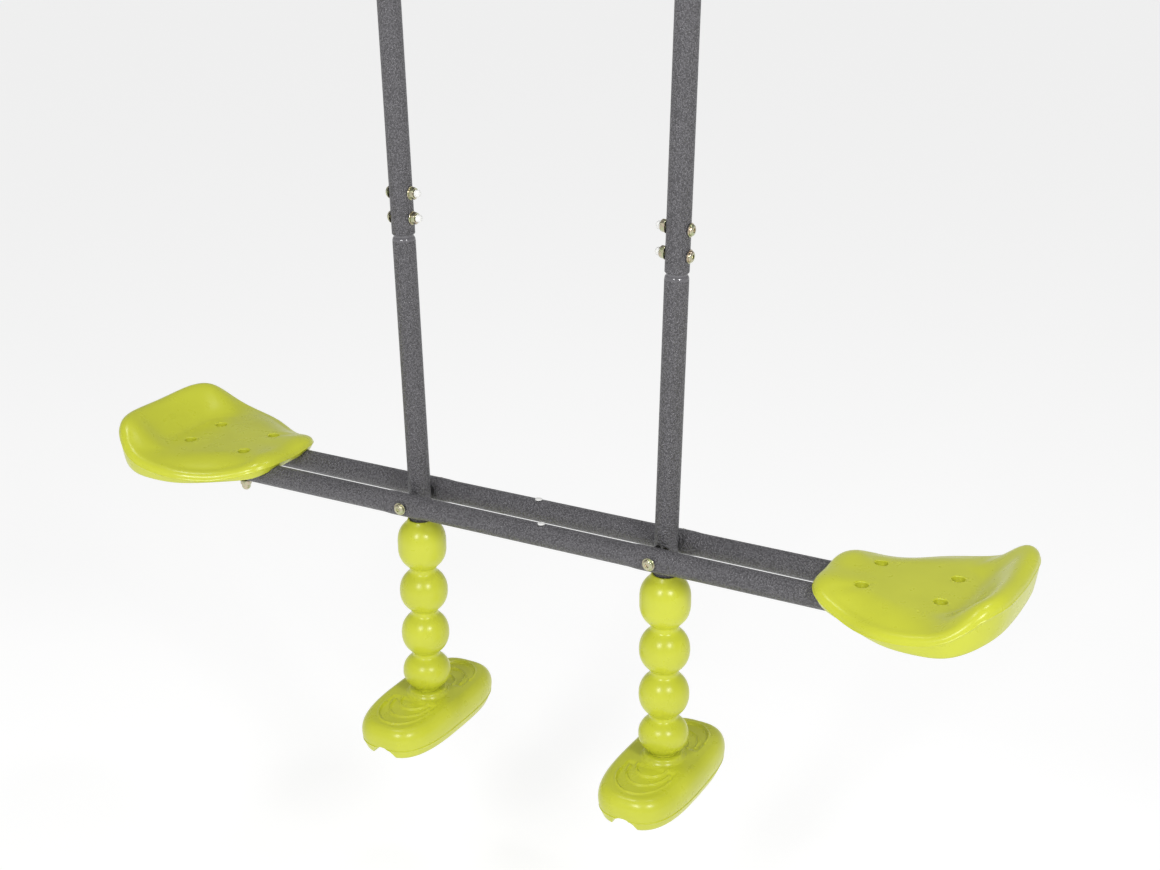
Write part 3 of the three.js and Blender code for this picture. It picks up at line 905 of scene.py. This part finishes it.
def seat_rings(settings):
    """Rings of the seat from the middle of its underside, round the rim and in to the middle of
    its pan."""
    other = [(out, -side, crest, foot) for out, side, crest, foot in SEAT_RIM[-2:0:-1]]
    rim = smooth_loop(np.array(SEAT_RIM + tuple(other)) * MM, 240)[::-1]
    plan, crest, foot = rim[:, :2], rim[:, 2], rim[:, 3]
    ahead = np.roll(plan, -1, 0) - np.roll(plan, 1, 0)
    inward = np.stack([-ahead[:, 1], ahead[:, 0]], 1) / np.linalg.norm(ahead, axis=1)[:, None]
    if np.sum(inward * plan) > 0:
        inward = -inward
    seam = crest - settings.crest_round
    nose = smooth_step(-plan[:, 0], 62 * MM, 98 * MM)
    roll = settings.crest_inset + nose * 9 * MM
    belly = 9 * MM
    tuck = settings.wall_slope

    def inset(distance, height):
        return np.column_stack([plan + inward * np.reshape(distance, (-1, 1)), height])

    def share_of(ring, share, height):
        return np.column_stack([ring[:, :2] * share, np.broadcast_to(height, len(ring))])

    lip = inset(tuck + 9 * MM, foot + 2.4 * MM)
    rings = [share_of(lip, share, belly) for share in (0.15, 0.35, 0.55, 0.68)]
    rings += [share_of(lip, 0.8, belly * 0.75 + foot * 0.25),
              share_of(lip, 0.91, belly * 0.35 + foot * 0.65)]
    rings += [lip, inset(tuck + 5 * MM, foot + 0.6 * MM), inset(tuck + 3 * MM, foot),
              inset(tuck + 1.2 * MM, foot + 0.7 * MM), inset(tuck, foot + 2.6 * MM)]
    wall_foot = foot + 2.6 * MM
    for share in (0.3, 0.6, 0.85):
        rings.append(inset(tuck * (1 - share) ** 1.3, wall_foot + (seam - wall_foot) * share))
    ridge = settings.seam_height
    rings += [inset(0, seam - 1.1 * MM), inset(-ridge, seam - 0.3 * MM), inset(-ridge, seam + 0.3 * MM),
              inset(0.1 * MM, seam + 1.1 * MM)]
    first_soft = len(rings)
    for step in range(1, 11):
        angle = math.radians(9 * step)
        lift = 1.1 * MM + (crest - seam - 1.1 * MM) * math.sin(angle)
        rings.append(inset(roll * (1 - math.cos(angle)), seam + lift))
    top = rings[-1]
    rise = crest - SEAT_TOP
    high_side = smooth_step(rise, -4 * MM, 12 * MM) * (1 - nose)
    flat = settings.pan_flat + (settings.nose_flat - settings.pan_flat) * nose
    for share in np.linspace(1, 0.05, 34)[1:]:
        ramp = np.clip((share - flat) / (1 - flat), 0, 1)
        climb = ramp ** 2 * (1 - high_side) + smooth_step(ramp, 0, 1) ** 1.15 * high_side
        rings.append(share_of(top, share, SEAT_TOP + rise * climb))
    last_soft = len(rings) - 20
    for _ in range(2):
        kept = [ring.copy() for ring in rings]
        for k in range(first_soft, last_soft):
            rings[k] = kept[k - 1] * 0.25 + kept[k] * 0.5 + kept[k + 1] * 0.25
    return rings


def seat(name, side, settings):
    """A moulded seat with a raised outer lip, four bolt wells and grooves for the rails."""
    node = f"seat_{name}"
    bolts = [middle(f"seat_bolt_{name}_{number}") for number in SEAT_BOLTS]
    centre_x = sum(bolt.x for bolt in bolts) / len(bolts)
    rings = seat_rings(settings)
    body = ringed([[Vector(p) for p in ring] for ring in rings],
                  start=Vector((0, 0, rings[0][0][2])), end=Vector((0, 0, SEAT_TOP)))
    turn = Matrix.Rotation(0 if side > 0 else math.pi, 4, "Z")
    place = Matrix.Translation((centre_x, 0, RAIL_Z)) @ turn
    pan = piece_from(body.moved(place), f"moulded_{node}")
    rail_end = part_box("rail_cap_front_right")[1].x - abs(centre_x) + 2 * MM
    groove_r = TUBE_R + 0.4 * MM
    start = -160 * MM
    grooves = []
    for row in ROWS:
        lengthwise = axes((0, middle(f"rail_{row}").y, 0), (1, 0, 0), (0, 1, 0))
        grooves.append(rod(groove_r, start, rail_end, 48).moved(place @ lengthwise))
    well = settings.well_radius
    edge = settings.well_edge
    floor = SEAT_TOP - settings.well_depth
    cutter = [(0, -5 * MM), (PIVOT_R, -5 * MM), (PIVOT_R, floor), (well, floor), (well, SEAT_TOP - edge)]
    cutter += arc((well + edge, SEAT_TOP - edge), edge, 180, 90, 6)[1:]
    cutter += [(well + edge, SEAT_TOP + 5 * MM), (0, SEAT_TOP + 5 * MM)]
    wells = [turned(cutter, 40).moved(Matrix.Translation((bolt.x, bolt.y, RAIL_Z))) for bolt in bolts]
    combine(pan, grooves[0].joined(grooves[1]), "DIFFERENCE")
    combine(pan, wells[0].joined(*wells[1:]), "DIFFERENCE")
    return fitted(pan, node, "lime_plastic", 38)


class GLIDER_OT_seats(bpy.types.Operator):
    """Make the two moulded seats"""

    bl_idname = "glider.seats"
    bl_label = "Seats"

    def execute(self, context):
        for name, side in SIDES:
            seat(name, side, context.scene.glider_seats)
        return {"FINISHED"}


# ---- brackets ----
def slab(outline, low, high):
    """An outline of (x, y) points as a plate from low to high."""
    rings = [[Vector((x, y, z)) for x, y in outline] for z in (low, high)]
    count = len(outline)
    shape = ringed(rings)
    shape.faces.append(tuple(reversed(range(count))))
    shape.faces.append(tuple(range(count, 2 * count)))
    return shape


def rounded_oblong(half_x, half_y, radius, steps=6):
    """Outline of a plate with rounded corners."""
    points = []
    for corner_x, corner_y, first in ((1, 1, 0), (-1, 1, 90), (-1, -1, 180), (1, -1, 270)):
        centre = (corner_x * (half_x - radius), corner_y * (half_y - radius))
        points += arc(centre, radius, first, first + 90, steps)
    return points


def hanger_bracket(name):
    """A folded steel yoke under the beam, with its two cheeks and two screw holes."""
    node = f"hanger_bracket_{name}"
    low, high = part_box(node)
    centre = middle(node)
    thickness = 4 * MM
    pivot = middle(f"top_bush_{name}")
    half = extent(node) / 2
    base = slab(rounded_oblong(half.x, half.y, 6 * MM), high.z - thickness, high.z)
    body = piece_from(base.moved(Matrix.Translation((centre.x, 0, 0))), f"painted_{node}")
    drop = high.z - pivot.z
    cheek_half = pivot.z - low.z
    flare = 6 * MM
    wide = cheek_half + flare
    fold = drop - 10 * MM
    outline = [(wide, drop - 1.2 * MM), (-wide, drop - 1.2 * MM)]
    outline += arc((-wide, fold), flare, 90, 0, 4)[1:]
    outline += arc((0, 0), cheek_half, 180, 360, 20)
    outline += arc((wide, fold), flare, 180, 90, 4)[:-1]
    cheek_inner = half.y - 2.5 * MM - thickness
    swap = Matrix(((1, 0, 0, 0), (0, 0, 1, 0), (0, 1, 0, 0), (0, 0, 0, 1)))  # Y and Z change places
    for side in (-1, 1):
        near = side * cheek_inner
        far = side * (cheek_inner + thickness)
        plate = slab(outline, min(near, far), max(near, far))
        shape = plate.moved(Matrix.Translation(pivot) @ swap)
        shape.faces = [tuple(reversed(face)) for face in shape.faces]
        combine(body, shape, "UNION")
    cutters = [rod(5.4 * MM, -40 * MM, 40 * MM).moved(axes(pivot, (0, 1, 0)))]
    screw_hole = rod(4.5 * MM, -10 * MM, 10 * MM)
    for side in (-1, 1):
        cutters.append(screw_hole.moved(Matrix.Translation((centre.x + side * 34 * MM, 0, high.z))))
    combine(body, cutters[0].joined(*cutters[1:]), "DIFFERENCE")
    softened(body, 0.7 * MM)
    return fitted(body, node, "grey_paint")


class GLIDER_OT_brackets(bpy.types.Operator):
    """Make the brackets that hold the hangers under the beam"""

    bl_idname = "glider.brackets"
    bl_label = "Brackets"

    def execute(self, context):
        for name, _ in SIDES:
            hanger_bracket(name)
        return {"FINISHED"}


# ---- fasteners ----
WASHER_THICK = 1.2 * MM


def dome_bolt(size, length):
    """A bolt with a domed head over a washer, where it has one, and the cutter for its hexagon
    socket. The washer lies at z = 0 and the shank points down."""
    shank, head, height, washer, socket = (
        size[part] for part in ("shank", "head", "head_height", "washer", "socket"))
    pitch = shank * 0.3
    profile = [(0, -length), (shank * 0.8, -length), (shank, -length + shank * 0.2)]
    threads = 6
    start = -length + shank * 0.3
    for turn in range(threads):
        profile += [(shank, start + turn * pitch), (shank * 0.9, start + (turn + 0.5) * pitch)]
    profile += [(shank, start + threads * pitch), (shank, 0)]
    thick = WASHER_THICK if washer else 0
    if washer:
        profile += [(washer - 0.2 * MM, 0), (washer, 0.2 * MM), (washer, thick - 0.3 * MM),
                    (washer - 0.3 * MM, thick)]
    profile += [(head - 0.1 * MM, thick), (head, thick + 0.3 * MM), (head, thick + 0.9 * MM)]
    dome = height - thick - 0.9 * MM
    for step in range(1, 7):
        angle = math.radians(90 * step / 6)
        radius = socket * 1.25 + (head - socket * 1.25) * math.cos(angle)
        profile.append((radius, thick + 0.9 * MM + dome * math.sin(angle)))
    profile.append((0, height))
    bolt = turned(profile, 36)
    recess = [[Vector((x, y, height + z)) for x, y in circle(socket, 6)] for z in (-2 * MM, 2 * MM)]
    key = ringed(recess, start=Vector((0, 0, height - 2.6 * MM)), end=Vector((0, 0, height + 2 * MM)))
    return bolt, key


def hex_nut(shank, corner, height, washer, cap=False):
    """A chamfered hexagon nut on a washer at z = 0, open, or closed by a dome."""
    thick = WASHER_THICK
    bore = shank + 0.2 * MM
    flat = corner * 0.88

    def hexagon(size, z):
        points = []
        for i in range(36):
            angle = i * math.pi / 18
            fold = (angle + math.pi / 6) % (math.pi / 3) - math.pi / 6
            reach = min(size, corner * math.cos(math.pi / 6) / math.cos(abs(fold)))
            points.append(Vector((reach * math.cos(angle), reach * math.sin(angle), z)))
        return points

    def ring(radius, z):
        return [Vector((x, y, z)) for x, y in circle(radius, 36)]

    rings = [ring(bore, 0), ring(washer - 0.2 * MM, 0), ring(washer, 0.2 * MM),
             ring(washer, thick - 0.3 * MM), ring(washer - 0.3 * MM, thick)]
    rings += [hexagon(flat, thick), hexagon(corner, thick + 0.7 * MM),
              hexagon(corner, height - 0.7 * MM), hexagon(flat, height)]
    if cap:
        dome_r = corner * 0.8
        rings.append(ring(dome_r, height + 0.1 * MM))
        rings.append(ring(dome_r, height + 2 * MM))
        rings += [ring(r, height + 2 * MM + z) for r, z in arc((0, 0), dome_r, 10, 80, 6)]
        peak = Vector((0, 0, height + 2 * MM + dome_r))
        return ringed(rings[1:], start=Vector((0, 0, 0)), end=peak)
    rings += [ring(bore + 0.5 * MM, height), ring(bore, height - 0.5 * MM)]
    return ringed(rings, close=True)


def bolt_piece(node, direction, size, sunk=0, aside=(0.3, 0.5, 0.8)):
    """Puts a domed bolt where the frame has one. direction points out of its head, and the head
    can be sunk below the frame's."""
    direction = Vector(direction)
    span = span_along(node, direction)
    drop = sunk + size["head_height"]
    bolt, key = dome_bolt(size, span - drop)
    place = axes(middle(node) + direction * (span / 2 - drop), direction, aside)
    piece = piece_from(bolt.moved(place), f"plated_{node}")
    combine(piece, key.moved(place), "DIFFERENCE")
    return fitted(piece, node, "yellow_zinc", 30)


def nut_piece(node, direction, size, cap=False):
    """Puts a nut where the frame has one. direction points away from the face it presses on."""
    direction = Vector(direction)
    face = middle(node) - direction * (span_along(node, direction) / 2)
    nut = hex_nut(size["shank"], size["corner"], size["nut_height"], size["nut_washer"], cap)
    piece = piece_from(nut.moved(axes(face, direction, (0.2, 0.6, 0.9))), f"plated_{node}")
    return fitted(piece, node, "yellow_zinc", 30)


def bolt_size(shank, head, head_height, washer, socket, corner, nut_height, nut_washer):
    """Radii and heights of a bolt and its nut, given in millimetres. No washer is 0."""
    return {"shank": shank * MM, "head": head * MM, "head_height": head_height * MM,
            "washer": washer * MM, "socket": socket * MM, "corner": corner * MM,
            "nut_height": nut_height * MM, "nut_washer": nut_washer * MM}


PIVOT_M8 = bolt_size(3.95, 6.6, 4.4, 8.0, 2.9, 7.4, 6.6, 8.2)
SEAT_M8 = bolt_size(3.95, 6.4, 4.2, 0, 2.9, 7.2, 6.6, 7.6)
TOP_M10 = bolt_size(4.95, 8.2, 5.0, 9.5, 3.5, 9.2, 8.0, 10)
FOOT_M6 = bolt_size(2.95, 5.2, 3.6, 6.5, 2.3, 5.8, 5.0, 6.5)


class GLIDER_OT_bolts(bpy.types.Operator):
    """Make every bolt and screw"""

    bl_idname = "glider.bolts"
    bl_label = "Bolts"

    def execute(self, context):
        settings = context.scene.glider_fasteners
        for name, side in SIDES:
            bolt_piece(f"top_pivot_bolt_{name}", (0, -1, 0), TOP_M10)
            bolt_piece(f"pivot_bolt_{name}", (0, -1, 0), PIVOT_M8)
            bolt_piece(f"foot_screw_{name}", (0, 0, -1), FOOT_M6)
            for number in SPLICE_BOLTS:
                bolt_piece(f"splice_bolt_{name}_{number}", across_hanger(name) * side, PIVOT_M8)
            for number in SEAT_BOLTS:
                bolt_piece(f"seat_bolt_{name}_{number}", (0, 0, 1), SEAT_M8,
                           settings.seat_bolt_sink, (1, 0, 0))
        return {"FINISHED"}


class GLIDER_OT_nuts(bpy.types.Operator):
    """Make every nut, and the plastic caps on the splice bolts' ends"""

    bl_idname = "glider.nuts"
    bl_label = "Nuts"

    def execute(self, context):
        settings = context.scene.glider_fasteners
        for name, side in SIDES:
            nut_piece(f"top_pivot_nut_{name}", (0, 1, 0), TOP_M10)
            nut_piece(f"pivot_nut_{name}", (0, 1, 0), PIVOT_M8)
            outward = across_hanger(name) * -side
            for number in SPLICE_BOLTS:
                nut_piece(f"splice_nut_{name}_{number}", outward, PIVOT_M8)
                tip_cap(name, number, outward, settings)
            for number in SEAT_BOLTS:
                nut_piece(f"seat_nut_{name}_{number}", (0, 0, -1), SEAT_M8, cap=True)
        return {"FINISHED"}


def tip_cap(name, number, direction, settings):
    """A white plastic cap over the end of a splice bolt."""
    node = f"splice_nut_{name}_{number}"
    face = middle(node) + direction * (span_along(node, direction) / 2)
    radius = settings.tip_radius
    length = settings.tip_length
    dome = radius * 0.7
    profile = [(0, 0.1 * MM), (radius, 0.1 * MM), (radius, length - dome)]
    profile += [(radius * math.cos(angle), length - dome + dome * math.sin(angle))
                for angle in (0.3, 0.6, 0.9, 1.2, 1.4)]
    profile.append((0, length))
    shape = turned(profile, 32).moved(axes(face, direction, (0, 1, 0)))
    piece = piece_from(shape, f"tip_cap_{name}_{number}")
    shaded(piece, 50)
    piece.data.materials.append(finish_named("white_plastic"))
    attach(piece, BODY_OF[node])


# ---- small plastics ----
def top_bush(node):
    """The round sleeve, with softened rims, that a hanger turns on."""
    outer = 8 * MM
    bore = 5.3 * MM
    half = 18 * MM
    rim = 0.4 * MM
    profile = [(bore + rim, -half), (outer - rim, -half), (outer, -half + rim), (outer, half - rim),
               (outer - rim, half), (bore + rim, half), (bore, half - rim), (bore, -half + rim)]
    shape = turned(profile, 40, close=True).moved(axes(middle(node), (0, 1, 0)))
    return fitted(piece_from(shape, f"moulded_{node}"), node, "black_plastic")


class GLIDER_OT_small_plastics(bpy.types.Operator):
    """Make the rail caps, rail plugs, spacers and bushes"""

    bl_idname = "glider.small_plastics"
    bl_label = "Small plastics"

    def execute(self, context):
        tubes = context.scene.glider_tubes
        for name, side in SIDES:
            top_bush(f"top_bush_{name}")
            for row in ROWS:
                rail_cap(f"rail_cap_{row}_{name}", side)
                spacer(f"pivot_spacer_{row}_{name}", tubes)
        for row in ROWS:
            rail_plug(f"rail_plug_{row}")
        return {"FINISHED"}


def rail_cap(node, side):
    """A ribbed cap with a rounded face in the outer end of a rail."""
    low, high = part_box(node)
    outer_x = high.x if side > 0 else low.x
    centre = middle(node)
    inner = TUBE_R - 1.8 * MM
    profile = [(0, -15 * MM), (inner - 1 * MM, -15 * MM), (inner, -13 * MM)]
    for rib in range(3):
        base = (-12 + rib * 3.2) * MM
        groove = inner - 0.8 * MM
        profile += [(inner, base), (groove, base + 0.4 * MM), (groove, base + 2.2 * MM)]
    profile += [(inner, -2.8 * MM), (TUBE_R - 0.2 * MM, -2.7 * MM), (TUBE_R, -2.4 * MM)]
    profile += arc((TUBE_R - 1.8 * MM, -1.8 * MM), 1.8 * MM, 0, 90, 5) + [(0, 0)]
    shape = turned(profile, 48).moved(axes((outer_x, centre.y, centre.z), (side, 0, 0), (0, 1, 0)))
    return fitted(piece_from(shape, f"moulded_{node}"), node, "black_plastic")


def rail_plug(node):
    """A small round plug with a domed rim in the top of a rail."""
    centre = middle(node)
    stem = 3.1 * MM
    under = -1.6 * MM
    profile = [(0, -5.5 * MM), (stem, -5.5 * MM), (stem, under), (4.6 * MM, under),
               (4.5 * MM, -1 * MM), (3.6 * MM, -0.3 * MM), (2 * MM, 0), (0, 0)]
    place = Matrix.Translation((centre.x, centre.y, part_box(node)[1].z))
    shape = turned(profile, 32).moved(place)
    return fitted(piece_from(shape, f"moulded_{node}"), node, "white_plastic")


def spacer(node, tubes):
    """A washer between a hanger and a rail, thick enough to reach the rail's pressed flat."""
    centre = middle(node)
    side = 1 if centre.y > 0 else -1
    inner = TUBE_R + FIT
    outer = abs(middle("rail_front").y) - TUBE_R + tubes.pivot_press - 0.2 * MM
    half = (outer - inner) / 2
    rim = 0.3 * MM
    big = 8 * MM
    profile = [(PIVOT_R, -half), (big - rim, -half), (big, -half + rim),
               (big, half - rim), (big - rim, half), (PIVOT_R, half)]
    place = axes((centre.x, side * (inner + outer) / 2, centre.z), (0, 1, 0))
    piece = piece_from(turned(profile, 40, close=True).moved(place), f"moulded_{node}")
    return fitted(piece, node, "black_plastic")


# ---- stage ----
class GLIDER_OT_stage(bpy.types.Operator):
    """Make the floor, the studio lights and the camera"""

    bl_idname = "glider.stage"
    bl_label = "Stage"

    def execute(self, context):
        settings = context.scene.glider_stage
        self.floor(settings)
        self.world(settings)
        self.lights(settings)
        self.camera(settings)
        context.scene.view_settings.view_transform = "Standard"
        return {"FINISHED"}

    def floor(self, settings):
        """A round of pale paper that glows a little, so that it stays pale in every view."""
        level = cad_box[0][2] - settings.floor_drop
        reaches = (60, 12, 4, 1)
        rings = [[Vector((x, y, level)) for x, y in circle(radius, 64)] for radius in reaches]
        ground = piece_from(ringed(rings, end=Vector((0, 0, level))), "studio_floor")
        finish, tree, shader = new_finish("studio_paper", tuple(settings.floor_colour), 0.9)
        tone = scaled_colour(tuple(settings.floor_colour), 0.985)
        tree.links.new(blended(tree, noise(tree, 3, 3), tone, tuple(settings.floor_colour)),
                       shader.inputs["Base Color"])
        shader.inputs["Specular IOR Level"].default_value = 0.1
        shader.inputs["Emission Color"].default_value = (1, 1, 1, 1)
        shader.inputs["Emission Strength"].default_value = settings.floor_glow
        ground.data.materials.append(finish)

    def world(self, settings):
        """Bright walls all round under a dimmer ceiling."""
        world = bpy.data.worlds.new("studio")
        world.use_nodes = True
        tree = world.node_tree
        background = tree.nodes["Background"]
        background.inputs["Strength"].default_value = 1
        place = tree.nodes.new("ShaderNodeTexCoord")
        parts = tree.nodes.new("ShaderNodeSeparateXYZ")
        tree.links.new(place.outputs["Generated"], parts.inputs["Vector"])
        height = ranged(tree, parts.outputs["Z"], 0.2, 0.55)
        ceiling = (settings.ceiling_light,) * 3
        wall = (settings.wall_light,) * 3
        tree.links.new(blended(tree, height, wall, ceiling), background.inputs["Color"])
        bpy.context.scene.world = world

    def lights(self, settings):
        """Two softboxes beside the camera and two overhead, all aimed at the middle of the rails."""
        aim = Vector((0, 0, RAIL_Z))
        # Name, degrees above the rails, degrees to each side of the view, distance, width, power.
        boxes = (("front", 32, 27, 2.9, 0.5, settings.front_power),
                 ("overhead", 72, 90, 2.6, 0.3, settings.overhead_power))
        for label, height, spread, distance, size, power in boxes:
            rise = math.radians(height)
            for side in (-1, 1):
                turn = settings.view_turn + side * math.radians(spread)
                away = Vector((math.sin(turn) * math.cos(rise), -math.cos(turn) * math.cos(rise),
                               math.sin(rise)))
                data = bpy.data.lights.new(f"{label}_softbox", "AREA")
                data.shape = "RECTANGLE"
                data.size = size
                data.size_y = size * 1.5
                data.energy = power
                lamp = bpy.data.objects.new(f"{label}_softbox", data)
                lamp.location = aim + away * distance
                lamp.rotation_euler = (-away).to_track_quat("-Z", "Y").to_euler()
                bpy.context.scene.collection.objects.link(lamp)

    def camera(self, settings):
        """The camera, turned to the left, pitched and rolled by the settings."""
        data = bpy.data.cameras.new("camera")
        data.sensor_width = 36
        data.lens = settings.lens
        camera = bpy.data.objects.new("camera", data)
        camera.location = settings.camera_place
        turn = settings.view_turn
        pitch = settings.view_pitch
        roll = settings.view_roll
        forward = Vector((-math.sin(turn) * math.cos(pitch), math.cos(turn) * math.cos(pitch),
                          math.sin(pitch)))
        right = Vector((math.cos(turn), math.sin(turn), 0))
        up = right.cross(forward)
        level_right = right * math.cos(roll) + up * math.sin(roll)
        level_up = up * math.cos(roll) - right * math.sin(roll)
        basis = Matrix((level_right, level_up, -forward)).transposed()
        camera.rotation_euler = basis.to_euler()
        bpy.context.scene.collection.objects.link(camera)
        bpy.context.scene.camera = camera


# ---- settings ----
def angle_setting(name, description, degrees):
    """An angle that is given in degrees and kept in radians."""
    return bpy.props.FloatProperty(name=name, description=description, default=math.radians(degrees),
                                   subtype="ANGLE")


def power_setting(name, description, default):
    """A lamp's power in watts."""
    return bpy.props.FloatProperty(name=name, description=description, default=default, min=0.0,
                                   max=500.0, unit="POWER")


def length_setting(name, description, default):
    """A length of up to a metre."""
    return bpy.props.FloatProperty(name=name, description=description, default=default, min=0.0,
                                   max=1.0, precision=4, subtype="DISTANCE", unit="LENGTH")


def colour_setting(name, description, default):
    """A colour as red, green and blue from 0 to 1."""
    return bpy.props.FloatVectorProperty(name=name, description=description, default=default, size=3,
                                         min=0.0, max=1.0, subtype="COLOR")


def share_setting(name, description, default):
    """A share from 0 to 1."""
    return bpy.props.FloatProperty(name=name, description=description, default=default, min=0.0,
                                   max=1.0, subtype="FACTOR")


class GliderFinishes(bpy.types.PropertyGroup):
    lime: colour_setting("Lime", "Colour of the seats, columns and footrests", (0.585, 0.62, 0.042))
    lime_roughness: share_setting("Lime roughness", "How dull the moulded plastic is", 0.28)
    grey: colour_setting("Grey", "Colour of the painted tubes", (0.105, 0.102, 0.11))
    grey_roughness: share_setting("Grey roughness", "How dull the paint is", 0.34)
    zinc: colour_setting("Zinc", "Colour of the plated fasteners", (0.56, 0.52, 0.36))
    black: colour_setting("Black", "Colour of the caps, bushes and spacers", (0.012, 0.012, 0.013))
    white: colour_setting("White", "Colour of the plugs and tip caps", (0.82, 0.82, 0.8))


class GliderTubes(bpy.types.PropertyGroup):
    tube_wall: length_setting("Wall", "Thickness of the tube walls", 1.5 * MM)
    shoulder_radius: length_setting("Shoulder", "Rounding of the lower tube's shoulder", 7 * MM)
    pivot_press: length_setting("Pivot flat", "How deep the rails are pressed at the pivots", 2.4 * MM)
    tube_sides: bpy.props.IntProperty(name="Sides", description="Facets round each tube", default=64,
                                      min=16, max=128)


class GliderColumns(bpy.types.PropertyGroup):
    bead_radius: length_setting("Bead radius", "Largest radius of each bead", 30.9 * MM)
    neck_radius: length_setting("Neck radius", "Radius between the beads", 17.2 * MM)
    bead_pitch: length_setting("Bead pitch", "Height of one full bead", 60.5 * MM)
    foot_bead: length_setting("Foot bead", "Height of the lowest bead", 50 * MM)


class GliderFootrests(bpy.types.PropertyGroup):
    foot_half_width: length_setting("Half width", "Half the footrest's width", 55.5 * MM)
    foot_half_length: length_setting("Half length", "Half the footrest's length", 111 * MM)
    foot_power: bpy.props.FloatProperty(name="Squareness", description="2 is an oval; more is squarer",
                                        default=3.0, min=2.0, max=6.0)
    collar_height: length_setting("Collar height", "Height of the collar above the top", 6.7 * MM)
    channel_radius: length_setting("Channel radius", "Radius of the channel underneath", 18 * MM)
    end_fall: length_setting("End fall", "How far the top drops towards both ends", 3 * MM)
    rib_height: length_setting("Rib height", "Height of the grip ribs", 2.5 * MM)
    rib_width: length_setting("Rib width", "Width of the grip ribs", 3.0 * MM)
    dish_depth: length_setting("Dish depth", "How far the ribbed field is sunk", 1.8 * MM)


class GliderSeats(bpy.types.PropertyGroup):
    crest_round: length_setting("Crest height", "Height of the crest above the parting line", 11 * MM)
    crest_inset: length_setting("Crest width", "How far in from the edge the crest is", 12 * MM)
    wall_slope: length_setting("Wall slope", "How far the wall leans in at its lower edge", 4 * MM)
    pan_flat: share_setting("Flat share", "Share of the pan that is level", 0.58)
    nose_flat: share_setting("Nose flat share", "Share of the pan that is level towards the nose", 0.3)
    seam_height: length_setting("Seam height", "How far the parting line stands out", 0.6 * MM)
    well_radius: length_setting("Well radius", "Radius of the bolt wells", 7.6 * MM)
    well_edge: length_setting("Well edge", "Rounding of the wells' edges", 1.3 * MM)
    well_depth: length_setting("Well depth", "Depth of the bolt wells", 10.5 * MM)


class GliderFasteners(bpy.types.PropertyGroup):
    seat_bolt_sink: length_setting("Seat bolt depth", "How far the bolts' heads are lowered", 5.9 * MM)
    tip_radius: length_setting("Tip radius", "Radius of the caps on the splice bolts", 4.7 * MM)
    tip_length: length_setting("Tip length", "Length of the caps on the splice bolts", 6 * MM)


class GliderStage(bpy.types.PropertyGroup):
    floor_drop: length_setting("Floor drop", "Gap from the footrests down to the floor", 0.28)
    floor_colour: colour_setting("Floor colour", "Colour of the studio floor", (0.4, 0.4, 0.4))
    floor_glow: share_setting("Floor glow", "Light given off by the studio floor", 0.74)
    wall_light: share_setting("Wall light", "Brightness of the studio walls", 0.5)
    ceiling_light: share_setting("Ceiling light", "Brightness of the studio ceiling", 0.25)
    front_power: power_setting("Front softboxes", "Power of each front softbox", 28.0)
    overhead_power: power_setting("Overhead softboxes", "Power of each overhead softbox", 8.0)
    lens: bpy.props.FloatProperty(name="Lens", description="Focal length in millimetres",
                                  default=55.48, min=10.0, max=300.0, unit="CAMERA")
    camera_place: bpy.props.FloatVectorProperty(
        name="Camera place", description="Where the camera stands", size=3, subtype="XYZ",
        unit="LENGTH", default=(1.004025, -1.727841, -0.419123))
    view_turn: angle_setting("View turn", "How far the view turns to the left", 28.701)
    view_pitch: angle_setting("View pitch", "How far the view rises", -21.014)
    view_roll: angle_setting("View roll", "How far the view leans", -0.284)


SETTINGS = {
    "glider_finishes": GliderFinishes,
    "glider_tubes": GliderTubes,
    "glider_columns": GliderColumns,
    "glider_footrests": GliderFootrests,
    "glider_seats": GliderSeats,
    "glider_fasteners": GliderFasteners,
    "glider_stage": GliderStage,
}

OPERATORS = (
    GLIDER_OT_stage,
    GLIDER_OT_hanger_tubes,
    GLIDER_OT_rails,
    GLIDER_OT_bead_columns,
    GLIDER_OT_footrests,
    GLIDER_OT_seats,
    GLIDER_OT_brackets,
    GLIDER_OT_bolts,
    GLIDER_OT_nuts,
    GLIDER_OT_small_plastics,
)


class GLIDER_PT_panel(bpy.types.Panel):
    """Sidebar panel with the settings and a button for each group of pieces"""

    bl_idname = "GLIDER_PT_panel"
    bl_label = "Glider swing"
    bl_space_type = "VIEW_3D"
    bl_region_type = "UI"
    bl_category = "Glider"

    def draw(self, context):
        for operator in OPERATORS:
            self.layout.operator(operator.bl_idname)
        for name, group in SETTINGS.items():
            box = self.layout.box()
            for setting in group.__annotations__:
                box.prop(getattr(context.scene, name), setting)


def register():
    for group in SETTINGS.values():
        bpy.utils.register_class(group)
    for name, group in SETTINGS.items():
        setattr(bpy.types.Scene, name, bpy.props.PointerProperty(type=group))
    for operator in OPERATORS:
        bpy.utils.register_class(operator)
    bpy.utils.register_class(GLIDER_PT_panel)


def unregister():
    bpy.utils.unregister_class(GLIDER_PT_panel)
    for operator in reversed(OPERATORS):
        bpy.utils.unregister_class(operator)
    for name in SETTINGS:
        delattr(bpy.types.Scene, name)
    for group in reversed(SETTINGS.values()):
        bpy.utils.unregister_class(group)


def main():
    register()
    bpy.ops.glider.stage()
    bpy.ops.glider.hanger_tubes()
    bpy.ops.glider.rails()
    bpy.ops.glider.bead_columns()
    bpy.ops.glider.footrests()
    bpy.ops.glider.seats()
    bpy.ops.glider.brackets()
    bpy.ops.glider.bolts()
    bpy.ops.glider.nuts()
    bpy.ops.glider.small_plastics()


if __name__ == "__main__":
    main()
